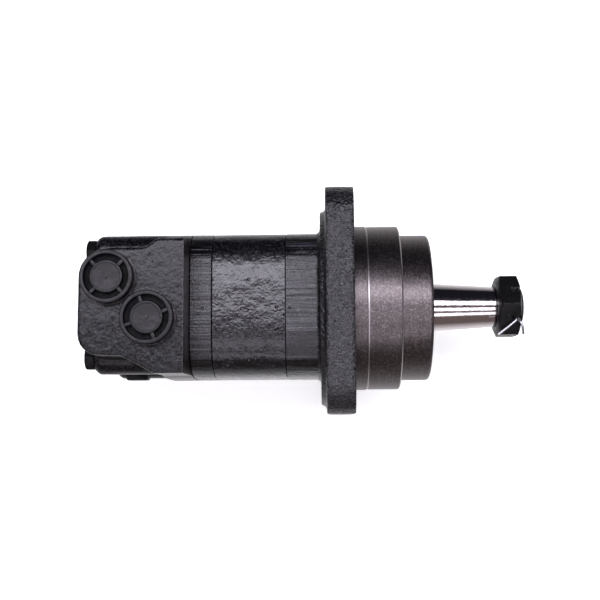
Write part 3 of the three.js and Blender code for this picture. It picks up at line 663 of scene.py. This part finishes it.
def bearing_housing():
    """Flange casting with a machined nose, a bore for the bearings and a rear face for the ring."""
    rear = HOUSING_REAR
    outline = rounded_square(FLANGE_HALF - SKIN_ROOM, FLANGE["corner"])
    flange = prism("bearing_housing", outline, (-FLANGE["thick"], 0))
    shoulder = turned("tool", [(SHOULDER["rear"], 0), (SHOULDER["rear"], SHOULDER["radius"]),
                               (-10, SHOULDER["radius"]), (-10, 0)])
    boss = prism("tool", crowned_square(BODY_HALF, BODY_CORNER), (rear - 3, -15))
    housing = cast(join(flange, shoulder, boss), voxel=1.15, seed=3)
    nose = turned("tool", [
        (-3, 0),
        (-3, PILOT["radius"]),
        (PILOT["end"], PILOT["radius"], 0.3),
        (PILOT["end"], PILOT["radius"] - PILOT["groove"], 0.15),
        (PILOT["end"] + PILOT["groove_width"], PILOT["radius"] - PILOT["groove"], 0.15),
        (PILOT["end"] + PILOT["groove_width"], NOSE["radius"], 0.2),
        (NOSE["step"] - 0.9, NOSE["radius"], 0.2),
        (NOSE["step"], NOSE["radius"] - 0.9, 0.2),
        (NOSE["step"], NOSE["front_radius"], 0.25),
        (NOSE_END, NOSE["front_radius"], 2.6),
        (NOSE_END, 35, 0.2),
        (NOSE_END, 0),
    ], 192)
    bore = turned("tool", stepped(NOSE_BORE, BORE_MOUTH[0][0])[:-1] + BORE_MOUTH, 144)
    rear_cut = block("tool", (rear - 12, rear), (-60, 60), (-60, 60))
    spread = FLANGE["spread"]
    flange_holes = []
    for y, z in CORNERS:
        centre = (y * spread, z * spread)
        flange_holes.append(hole((-30, 5), centre, FLANGE["hole"], 48))
        flange_holes.append(hole((-0.5, 5), centre, FLANGE["hole"] + 0.7, 48))
    join(housing, nose)
    threads = bolt_holes((rear - 9, BOLT["tip"] + 1))
    cut(housing, rear_cut, bore, seal_groove(rear, 1), *flange_holes, *threads)

    def finish(centre, normal):
        out = math.hypot(centre.y, centre.z)
        on_hole = any(math.hypot(centre.y - y * spread, centre.z - z * spread) < FLANGE["hole"] + 0.75
                      for y, z in CORNERS)
        on_nose = centre.x > -0.3 and out < NOSE["faced"]
        in_bore = centre.x > rear and out < SEAL_GROOVE["outer"] + 0.05
        if on_hole or on_nose or in_bore:
            return 2
        return int(centre.x < SHOULDER["rear"] - 1.5)

    paint_faces(housing, [SAND_PAINT, MILLED_PAINT, TURNED_IRON], finish)
    fit(housing, "motor_body", "black_paint", "bearing_housing")


def section(name, ends, relief, seed):
    """A square section of the stack with rounded corners, fine edges and an uneven skin."""
    low, high = ends
    outline = crowned_square(BODY_HALF, BODY_CORNER)
    spacing, chamfer = 1.8, 0.35
    dense = []
    for (y0, z0), (y1, z1) in zip(outline, outline[1:] + outline[:1]):
        pieces = max(1, round(math.hypot(y1 - y0, z1 - z0) / spacing))
        dense += [(y0 + (y1 - y0) * k / pieces, z0 + (z1 - z0) * k / pieces) for k in range(pieces)]
    count = max(4, round((high - low) / spacing))
    places = [(low, chamfer), (low + chamfer, 0)]
    places += [(low + chamfer + (high - low - 2 * chamfer) * k / count, 0) for k in range(1, count)]
    places += [(high - chamfer, 0), (high, chamfer)]
    offset = Vector((seed, -seed, seed * 2.3))
    bm = bmesh.new()
    rings = []
    for x, inset in places:
        ring = []
        for y, z in dense:
            place = Vector((x, y, z))
            wave = noise.noise(place / 8 + offset) + 0.6 * noise.noise(place / 2.6 + offset)
            scale = 1 - (inset - wave * relief + relief) / math.hypot(y, z)
            ring.append(bm.verts.new((x, y * scale, z * scale)))
        rings.append(ring)
    for a, b in zip(rings, rings[1:]):
        for i in range(len(dense)):
            j = (i + 1) % len(dense)
            bm.faces.new((a[i], a[j], b[j], b[i]))
    bm.faces.new(rings[0])
    bm.faces.new(rings[-1])
    return to_object(name, bm, 40)


def in_bolt_hole(centre):
    return any(math.hypot(centre.y - y, centre.z - z) < BOLT["hole"] + 0.1 for y, z in BOLT_CENTRES)


def bare_inside(centre, normal):
    """A rule for paint_faces: 1 for a section's end faces, bore and holes, and 0 for its outside."""
    in_bore = math.hypot(centre.y, centre.z) < BODY_HALF - 3
    return int(in_bore or abs(normal.x) > 0.98 or in_bolt_hole(centre))


def geroler_ring():
    ring = section("geroler_ring", RING_SPAN, relief=0.11, seed=5)
    through = (RING_SPAN[0] - 5, RING_SPAN[1] + 5)
    places = [polar(GEROLER["roll_circle"], a) for a in ROLL_ANGLES]
    pockets = [hole(through, place, GEROLER["pocket"]) for place in places]
    cut(ring, hole(through, (0, 0), GEROLER["bore"], 112), *pockets, *bolt_holes(through))
    paint_faces(ring, [HAMMERED_PAINT, GROUND_STEEL], bare_inside)
    fit(ring, "motor_body", "black_paint", "geroler_ring")


def valve_plate():
    plate = section("valve_plate", PLATE_SPAN, relief=0.04, seed=11)
    through = (PLATE_SPAN[0] - 5, PLATE_SPAN[1] + 5)
    places = [polar(PLATE["port_circle"], a + math.pi / ROLLS) for a in ROLL_ANGLES]
    ports = [hole(through, place, PLATE["port"]) for place in places]
    bore = hole(through, (0, 0), PLATE["bore"], 72)
    cut(plate, bore, seal_groove(PLATE_SPAN[1], -1), *ports, *bolt_holes(through))
    paint_faces(plate, [MILLED_PAINT, GROUND_STEEL], bare_inside)
    fit(plate, "motor_body", "black_paint", "valve_plate")


def pad_outline():
    """The raised pad round the ports, seen from above."""
    front, low, high, reach = VALVE_FRONT, PAD["low"], PAD["high"], PAD["reach"]
    port_x, port_y = PORT_CENTRES["port_cap_a"]
    corner_centre = (port_x - reach + PAD["corner"], PAD["corner_y"])
    points = [(front, low), (front, high), (-116, high)]
    points += bezier((-116, high), (-121, high), (-122, 30), (-129, port_y + reach))
    points += arc((port_x, port_y), reach, 90, 180, 16)
    points += arc(corner_centre, PAD["corner"], 180, 270, 12)
    points += [(-139, -34.4), (-119.5, low)]
    return points


def valve_housing():
    """Rear casting: four bolt lugs round a core, and the pad that the two ports open in."""
    front = VALVE_FRONT
    square = crowned_square(BODY_HALF, BODY_CORNER)
    body = prism("valve_housing", square, (FULL_SECTION_REAR, front + 3))
    inner_square = rounded_square(CORE["half"], CORE["corner"])
    core = prism("tool", inner_square, (LUG["rear"] + 1, CORE["front"]))
    pad = prism("tool", pad_outline(), (PAD["foot"], PAD_TOP), "Z")
    pad_lip = block("tool", (front - 1, front + 3), (PAD["low"], PAD["high"]), (PAD["foot"], PAD_TOP))
    lugs = []
    for y, z in BOLT_CENTRES:
        lug = turned("tool", [
            (LUG["rear"], 0),
            (LUG["rear"], LUG["radius"] - LUG["taper"]),
            (LUG["rear"] + LUG["lip"], LUG["radius"]),
            (LUG["front"], LUG["radius"]),
            (LUG["front"], 0),
        ], 48)
        lug.data.transform(Matrix.Translation((0, y * MM, z * MM)))
        lugs.append(lug)
    housing = cast(join(body, core, pad, pad_lip, *lugs), voxel=0.95, seed=7)
    chambers = turned("tool", stepped(CHAMBERS, front + 5), 96)
    tools = [block("tool", (front, front + 9), (-60, 60), (-60, 90)), chambers, seal_groove(front, -1)]
    for (x, y), depth in zip(PORT_CENTRES.values(), (8, 20)):
        spot = PAD_TOP - PORT["spot_depth"]
        tools.append(hole((spot, PAD_TOP + 4), (x, y), PORT["spot"], 72, "Z"))
        tools.append(hole((PORT["floor"], PAD_TOP + 4), (x, y), PORT["radius"], 56, "Z"))
        tools.append(hole((depth, PORT["floor"] + 1), (x, y), PORT["passage"], 32, "Z"))
    drain = hole((10, 60), (0, 0), DRAIN["radius"], 32)
    drain_seat = hole((-DRAIN["seat"], 60), (0, 0), DRAIN["spot"], 48)
    for tool in (drain, drain_seat):
        tool.data.transform(DRAIN_PLACE)
    spot_face = (LUG["rear"] - 5, LUG["rear"] + 0.2)
    lug_faces = [hole(spot_face, centre, LUG["spot"], 40) for centre in BOLT_CENTRES]
    cut(housing, *tools, drain, drain_seat, *lug_faces, *bolt_holes((LUG["rear"] - 5, front + 5)))

    def finish(centre, normal):
        at_port = centre.z > 30 and any(math.hypot(centre.x - x, centre.y - y) < PORT["radius"] + 0.1
                                        for x, y in PORT_CENTRES.values())
        in_chamber = (math.hypot(centre.y, centre.z) < CHAMBERS[-1][1] + 0.1
                      and centre.x > CHAMBERS[0][0] - 0.5)
        return int(in_bolt_hole(centre) or at_port or in_chamber or centre.x > front - 0.05)

    paint_faces(housing, [CAST_PAINT, TURNED_IRON], finish)
    fit(housing, "motor_body", "black_paint", "valve_housing")


# ---------------------------------------------------------------- fasteners, caps and plug


def hexagon_head(name, flats, ends, chamfered_end):
    """A hexagon along X whose corners are turned off at one end."""
    low, high = ends
    corner = flats / math.sqrt(3)
    head = prism(name, hexagon(flats), ends)
    outer, inner, depth = corner + 0.4, flats / 2 - 0.15, 1.2
    if chamfered_end == "low":
        profile = [(low, 0), (low, inner), (low + depth, outer), (high, outer), (high, 0)]
    else:
        profile = [(low, 0), (low, outer), (high - depth, outer), (high, inner), (high, 0)]
    return combine(head, [turned("tool", profile, 96)], "INTERSECT")


def thread_relief(spans, pitch, depth):
    """A relief for turned: a screw thread inside a span of places."""
    def relief(place, angle, radius):
        if not spans[0] <= place <= spans[1]:
            return radius
        turn = (place / pitch - angle / (2 * math.pi)) % 1
        fade = min(1, (place - spans[0]) / pitch, (spans[1] - place) / pitch)
        return radius - depth * fade * max(0, 1 - 1.25 * abs(2 * turn - 1))
    return relief


def rows_between(low, high, radius, step):
    count = math.ceil((high - low) / step)
    return [(low + (high - low) * k / count, radius) for k in range(count + 1)]


def tie_bolt(number, centre):
    seat = LUG["rear"] - 0.3
    bolt = hexagon_head(f"tie_bolt_{number}", BOLT["flats"], (seat - BOLT["head"], seat), "low")
    soften(bolt, 0.2)
    thread = (BOLT["tip"] - 22, BOLT["tip"] - 0.6)
    shank = turned("tool", [
        (seat - 1, 0),
        (seat - 1, BOLT["radius"] + 0.3),
        (seat + 0.5, BOLT["radius"]),
        *rows_between(*thread, BOLT["radius"], 0.3),
        (BOLT["tip"], BOLT["radius"] - 0.7),
        (BOLT["tip"], 0),
    ], 32, relief=thread_relief(thread, 1.5, 0.55))
    join(bolt, shank)
    dimple = turned("tool", [(seat - BOLT["head"] - 1, 0), (seat - BOLT["head"] - 1, 3.6),
                             (seat - BOLT["head"] + 0.4, 3.2), (seat - BOLT["head"] + 0.4, 0)], 48)
    cut(bolt, dimple)
    bolt.data.transform(Matrix.Translation((0, centre[0] * MM, centre[1] * MM)))
    paint_faces(bolt, [BLACK_OXIDE], all_over)
    fit(bolt, "motor_body", "black_oxide", f"tie_bolt_{number}")


def port_cap(name):
    """A shipping cap: a threaded cup with a rim, a recessed ring and a raised centre joined by ribs."""
    seat = 0.3 - PORT["spot_depth"]
    thread = (-9.4, seat - 1.2)
    cap = turned(name, [
        (0.9, 0),
        (0.9, 8.8, 0.8),
        (-10, 8.8, 0.3),
        (-10, 10.2, 0.3),
        *rows_between(*thread, 10.7, 0.2),
        (seat, 10.6),
        (seat, 16, 0.5),
        (7, 16, 0.9),
        (7, 13.4, 0.5),
        (2.4, 13.4, 0.5),
        (2.4, 9.8, 0.5),
        (6.2, 9.8, 0.7),
        (6.2, 8.4, 0.2),
        (5.9, 8.2, 0.2),
        (5.9, 0),
    ], 96, axis="Z", relief=thread_relief(thread, 1.8, 0.55))
    ribs = []
    for quarter in range(4):
        rib = block("tool", (9.2, 13.9), (-1.1, 1.1), (1.9, 5.5), bevel=0.35)
        rib.data.transform(Matrix.Rotation(math.pi / 2 * quarter, 4, "Z"))
        ribs.append(rib)
    nub = turned("tool", [(5.5, 0), (5.5, 1.5), (6.15, 1.3, 0.2), (6.15, 0)], 32, axis="Z")
    join(cap, *ribs, nub)
    x, y = PORT_CENTRES[name]
    place = Matrix.Translation((x * MM, y * MM, PAD_TOP * MM))
    cap.data.transform(place @ Matrix.Rotation(math.radians(CAP_TURN[name]), 4, "Z"))
    # The faces low on the cap, down in its groove and below, take the painted shade.
    paint_faces(cap, [CAP_PLASTIC, CAP_RECESS_PAINTED_SHADE], lambda centre, normal: int(centre.z < PAD_TOP + 2.6))
    fit(cap, "motor_body", "cap_plastic", name)


def drain_plug():
    """A hexagon plug in the lower side, with a washer face."""
    seat = -DRAIN["seat"] + 0.3
    plug = hexagon_head("drain_plug", DRAIN["flats"], (seat + 0.6, -DRAIN["end"]), "high")
    soften(plug, 0.2)
    tip = -DRAIN["seat"] - 10
    stem = turned("tool", [(tip, 0), (tip, 4.3), (tip + 0.8, 4.95), (seat, 4.95), (seat, 6.9, 0.2),
                           (seat + 0.7, 6.9), (seat + 0.7, 0)], 48)
    join(plug, stem)
    plug.data.transform(DRAIN_PLACE)
    paint_faces(plug, [BLACK_OXIDE], all_over)
    fit(plug, "motor_body", "black_oxide", "drain_plug")


# ---------------------------------------------------------------- shaft, nut and pin


def key_tool(name, width, spare, bevel=0.0):
    """The half-moon key, flat side down."""
    start = math.degrees(math.asin(KEY["sink"] / KEY["radius"]))
    outline = arc((0, -KEY["sink"]), KEY["radius"] + spare, start, 180 - start, 40)
    key = prism(name, outline, (-width / 2, width / 2), "Z", bevel)
    lift = Matrix.Translation((KEY["x"] * MM, 0, -KEY["top"] * MM))
    key.data.transform(lift @ Matrix.Rotation(math.pi / 2, 4, "X"))
    return key


def pin_point(reach):
    return (PIN["x"], -reach * math.sin(PIN["tilt"]), reach * math.cos(PIN["tilt"]))


def pin_hole():
    drill = hole((-20, 20), (0, 0), 1.7, 32, "Z")
    lift = Matrix.Translation((PIN["x"] * MM, 0, 0))
    drill.data.transform(lift @ Matrix.Rotation(PIN["tilt"], 4, "X"))
    return drill


def output_shaft():
    """Bearing seats, seal land, taper with its key seat, and the thread for the nut."""
    thread = (TAPER["end"] + 0.6, SHAFT_END - 2)
    shaft = turned("output_shaft", [
        (SHAFT_REAR, 0),
        (SHAFT_REAR, 25, 0.6),
        (-14.3, 25, 0.6),
        (-14.3, 22.5, 0.3),
        (14.7, 22.5, 0.6),
        (14.7, 20, 0.3),
        (34.4, 20, 0.5),
        (34.4, 19.5),
        (41, 19.5, 0.5),
        (41, 17.5, 0.4),
        (TAPER["start"] - 1.4, 17.5, 0.3),
        (TAPER["start"], TAPER["radius"], 0.4),
        (TAPER["end"], TAPER["end_radius"], 0.15),
        *rows_between(*thread, THREAD["radius"], 0.16),
        (SHAFT_END - 1.4, THREAD["radius"], 0.2),
        (SHAFT_END - 0.5, THREAD["radius"] - 2.2, 0.3),
        (SHAFT_END, THREAD["radius"] - 6.5, 0.3),
        (SHAFT_END, 3),
        (SHAFT_END - 2.6, 0),
    ], 144, relief=thread_relief(thread, THREAD["pitch"], THREAD["depth"]))
    teeth = []
    for tooth in range(8):
        middle = 45 * tooth
        for offset, radius in ((-15.5, 12), (-12, 14.2), (12, 14.2), (15.5, 12)):
            teeth.append(polar(radius, math.radians(middle + offset)))
    socket = prism("tool", teeth, (SHAFT_REAR - 1, 18))
    drill_point = turned("tool", [(17, 0), (17, 11), (23, 0)], 48)
    cut(shaft, socket, drill_point, key_tool("tool", KEY["width"] + 0.6, 0.3), pin_hole())
    thread_start = TAPER["end"] + 0.5
    paint_faces(shaft, [BRIGHT_STEEL, BLACK_OXIDE], lambda centre, normal: int(centre.x > thread_start))
    fit(shaft, "shaft", "bright_steel", "output_shaft")


def shaft_key():
    key = key_tool("shaft_key", KEY["width"], 0, 0.25)
    paint_faces(key, [GROUND_STEEL], all_over)
    fit(key, "shaft", "ground_steel", "shaft_key")


def castle_nut():
    """A slotted nut: both faces chamfered, and three slots across its front."""
    flats, bore = NUT["flats"], NUT["bore"]
    corner = flats / math.sqrt(3) + 0.3
    nut = prism("castle_nut", hexagon(flats), (NUT_REAR, NUT_FRONT))
    chamfer = turned("tool", [
        (NUT_REAR, 0),
        (NUT_REAR, flats / 2 - 2.4),
        (NUT_REAR + 2.6, corner),
        (NUT_FRONT - 1.8, corner),
        (NUT_FRONT, flats / 2 - 0.9),
        (NUT_FRONT, 0),
    ], 144)
    combine(nut, [chamfer], "INTERSECT")
    bore_tool = turned("tool", [
        (NUT_REAR - 1, 0),
        (NUT_REAR - 1, bore + 1.6),
        (NUT_REAR + 0.8, bore),
        (NUT_FRONT - 0.8, bore),
        (NUT_FRONT + 1, bore + 1.6),
        (NUT_FRONT + 1, 0),
    ], 96)
    half, past = NUT["slot"] / 2, corner + 1
    slots = []
    for k in range(3):
        slot = block("tool", (NUT["slot_floor"], NUT_FRONT + 2), (-past, past), (-half, half))
        slot.data.transform(Matrix.Rotation(math.radians(60 * k), 4, "X"))
        slots.append(slot)
    cut(nut, bore_tool, *slots)
    soften(nut, 0.5)

    def finish(centre, normal):
        flat_side = max(abs(normal.y * math.cos(a) + normal.z * math.sin(a)) for a in FLAT_ANGLES)
        return int(abs(normal.x) < 0.5 and 0.5 < flat_side < 0.999)

    # The rounded corner faces take the lighter steel colour, a painted highlight along the nut's edges.
    paint_faces(nut, [BLACK_OXIDE, PAINTED_CORNER_HIGHLIGHT], finish)
    fit(nut, "shaft", "black_oxide", "castle_nut")


def cotter_pin():
    """One bent wire: two strands through the nut, an eye behind, and two spread legs."""
    shift = PIN["offset"]
    exits = [Vector(pin_point(reach)) for reach in (-19, -8, 6, 18)]
    eye_centre = Vector(pin_point(-23.4))
    outward = Vector(pin_point(-1)) - Vector(pin_point(0))
    along = Vector((1, 0, 0))
    eye = [eye_centre + PIN["eye"] * (along * math.sin(a) + outward * math.cos(a))
           for a in (math.radians(d) for d in (-125, -85, -40, 0, 40, 85, 125))]
    rear_leg = [(-1.1, -10.6, 17.2), (-4.6, -13.6, 17.0), (-8.6, -16.7, 16.1), (-12.2, -19.4, 15.4)]
    front_leg = [(1.5, -11.2, 18.2), (2.7, -13.8, 18.6), (3.4, -16.6, 16.9), (3.9, -19.0, 14.8)]
    rear_leg, front_leg = ([Vector(p) + PIN["x"] * along for p in leg] for leg in (rear_leg, front_leg))
    strand_in = [p - along * shift for p in exits]
    strand_out = [p + along * shift for p in exits]
    points = rear_leg[::-1] + strand_in[::-1] + eye + strand_out + front_leg
    pin = tube("cotter_pin", [tuple(p) for p in points], PIN["wire"])
    paint_faces(pin, [ZINC], all_over)
    fit(pin, "shaft", "zinc", "cotter_pin")


# ---------------------------------------------------------------- what shows in the nose


def seal_carrier():
    carrier = turned("seal_carrier", [
        (40.5, 24.2), (40.5, 34.7, 0.3), (42.5, 34.7), (42.5, 33.4), (44.6, 33.4), (44.6, 34.7),
        (46.7, 34.7, 0.4), (46.7, 27, 0.2), (46.3, 26.6, 0.2), (46.3, 23.4, 0.2), (46.7, 23, 0.2),
        (46.7, 22.4), (45.3, 22.4), (45.3, 18.4), (44.6, 18.4), (44.6, 24.2),
    ], 128, closed=True)
    paint_faces(carrier, [TURNED_IRON], all_over)
    fit(carrier, "motor_body", "turned_iron", "seal_carrier")


def dust_seal():
    seal = turned("dust_seal", [
        (45.6, 19.1), (45.6, 22.1), (48.2, 22.1, 0.3), (48.2, 21, 0.3), (47.4, 20.4, 0.3),
        (48.0, 19.4, 0.3), (48.2, 18.2, 0.15), (47.6, 17.8, 0.1), (46.8, 18.1),
    ], 128, closed=True)
    paint_faces(seal, [RUBBER], all_over)
    fit(seal, "motor_body", "rubber", "dust_seal")


def seal_snap_ring():
    """An internal snap ring, open at the top, with two lugs that take pliers."""
    low, high = 46.95, 48.55
    profile = [(low, 33.2), (low, 36.5), (high, 36.5), (high, 33.2)]
    ring = turned("seal_snap_ring", profile, 144, closed=True)
    join(ring, *[hole((low, high), (side * 4.6, 33), 2.4, 32) for side in (1, -1)])
    through = (low - 1, high + 1)
    cut(ring, block("tool", through, (-2.2, 2.2), (25, 40)),
        *[hole(through, (side * 4.6, 33), 0.9, 24) for side in (1, -1)])
    soften(ring, 0.15)
    paint_faces(ring, [GROUND_STEEL], all_over)
    fit(ring, "motor_body", "ground_steel", "seal_snap_ring")


def finish_inner_nodes():
    """The sealed inner pieces keep their CAD shapes and get the finish of their slot."""
    for part in frame["record"]["subparts"]:
        node = frame["nodes"][part["node"]]
        node.data.materials.clear()
        node.data.materials.append(SLOT_FINISH[part["material_slot"]])


# ---------------------------------------------------------------- floor, light and camera

LIGHT_HEIGHT = 1.2
LIGHT_LENGTH = 2.0
LIGHT_COLOUR = (1, 0.965, 1.1)
LIGHT_STRIPS = {  # the Y of its middle, its width and its radiance
    "strip_back": (0.36, 0.42, 7.0),
    "strip_middle": (-0.36, 0.36, 2.4),
    "strip_front": (-1.14, 0.56, 2.2),
}
END_LIGHTS = {"end_left": -1.3, "end_right": 1.3}  # the X of each
END_LIGHT = {"z": 0.45, "size": (0.6, 0.5), "radiance": 1.2}
WALL_FRONT = (0.17, 0.135, 0.13)
WALL_BACK = (0.012, 0.012, 0.018)
GROUND_GLOW = (0.95, 0.93, 0.97)
BACKDROP = (0.85, 0.85, 0.85)
WALL_FADE = (-0.7, 0.5)  # the directions' Y over which the front wall turns into the back one
GROUND_FADE = (-0.08, -0.8)  # the directions' Z over which the walls turn into the ground
CAMERA_TARGET = Vector((-0.0347, 0.006, 0))
CAMERA_PLACE = CAMERA_TARGET + Vector((0.0177, -0.0758, 0.6355))
CAMERA_ROLL = math.radians(-0.6)
CAMERA_LENS = 57.8
FLOOR = {"half": 4000, "gap": 0.2}  # in millimetres; the gap is under the flange


def floor():
    bm = bmesh.new()
    bmesh.ops.create_grid(bm, x_segments=8, y_segments=8, size=FLOOR["half"])
    bmesh.ops.translate(bm, vec=(0, 0, -FLANGE_HALF - FLOOR["gap"]), verts=bm.verts)
    ground = to_object("floor", bm)
    ground.data.materials.append(floor_paint())
    ground.visible_glossy = False


def area_light(name, place, target, size, radiance):
    data = bpy.data.lights.new(name, "AREA")
    data.shape = "RECTANGLE"
    data.size, data.size_y = size
    data.energy = radiance * math.pi * size[0] * size[1]
    data.color = LIGHT_COLOUR
    light = bpy.data.objects.new(name, data)
    light.location = place
    light.rotation_euler = (Vector(target) - Vector(place)).to_track_quat("-Z", "Y").to_euler()
    bpy.context.scene.collection.objects.link(light)


def studio():
    """Three soft strips overhead, a weaker light at each end, and dim surroundings."""
    for name, (y, width, radiance) in LIGHT_STRIPS.items():
        area_light(name, (-0.03, y, LIGHT_HEIGHT), (-0.03, y, 0), (LIGHT_LENGTH, width), radiance)
    for name, x in END_LIGHTS.items():
        area_light(name, (x, 0, END_LIGHT["z"]), (0, 0, 0), END_LIGHT["size"], END_LIGHT["radiance"])
    world = bpy.data.worlds.new("studio")
    bpy.context.scene.world = world
    world.use_nodes = True
    nodes, links = world.node_tree.nodes, world.node_tree.links
    direction = nodes.new("ShaderNodeSeparateXYZ")
    links.new(nodes.new("ShaderNodeTexCoord").outputs["Generated"], direction.inputs[0])

    def blend(factor, first, second):
        mixer = nodes.new("ShaderNodeMix")
        mixer.data_type = "RGBA"
        links.new(factor, mixer.inputs[0])
        for index, colour in ((6, first), (7, second)):
            if isinstance(colour, tuple):
                mixer.inputs[index].default_value = (*colour, 1)
            else:
                links.new(colour, mixer.inputs[index])
        return mixer.outputs[2]

    def fade(socket, start, end):
        step = nodes.new("ShaderNodeMapRange")
        step.inputs["From Min"].default_value = start
        step.inputs["From Max"].default_value = end
        links.new(socket, step.inputs["Value"])
        return step.outputs["Result"]

    walls = blend(fade(direction.outputs["Y"], *WALL_FADE), WALL_FRONT, WALL_BACK)
    around = blend(fade(direction.outputs["Z"], *GROUND_FADE), walls, GROUND_GLOW)
    camera_ray = nodes.new("ShaderNodeLightPath").outputs["Is Camera Ray"]
    links.new(blend(camera_ray, around, BACKDROP), nodes["Background"].inputs["Color"])


def camera():
    """Looks almost straight down at the side with the ports, the shaft to the right."""
    data = bpy.data.cameras.new("camera")
    data.lens = CAMERA_LENS
    data.sensor_width = 36
    data.clip_start = 0.01
    view = bpy.data.objects.new("camera", data)
    back = (CAMERA_PLACE - CAMERA_TARGET).normalized()
    right = (Vector((1, 0, 0)) - back * back.x).normalized()
    up = back.cross(right)
    axes = Matrix((right, up, back)).transposed()
    view.matrix_world = (Matrix.Translation(CAMERA_PLACE) @ axes.to_4x4()
                         @ Matrix.Rotation(CAMERA_ROLL, 4, "Z"))
    bpy.context.scene.collection.objects.link(view)
    bpy.context.scene.camera = view
    bpy.context.scene.view_settings.view_transform = "Standard"


# ---------------------------------------------------------------- making the scene

camera()
studio()
floor()
finish_inner_nodes()
bearing_housing()
geroler_ring()
valve_plate()
valve_housing()
for number, centre in enumerate(BOLT_CENTRES, 1):
    tie_bolt(number, centre)
for cap_name in PORT_CENTRES:
    port_cap(cap_name)
drain_plug()
output_shaft()
shaft_key()
castle_nut()
cotter_pin()
seal_carrier()
dust_seal()
seal_snap_ring()
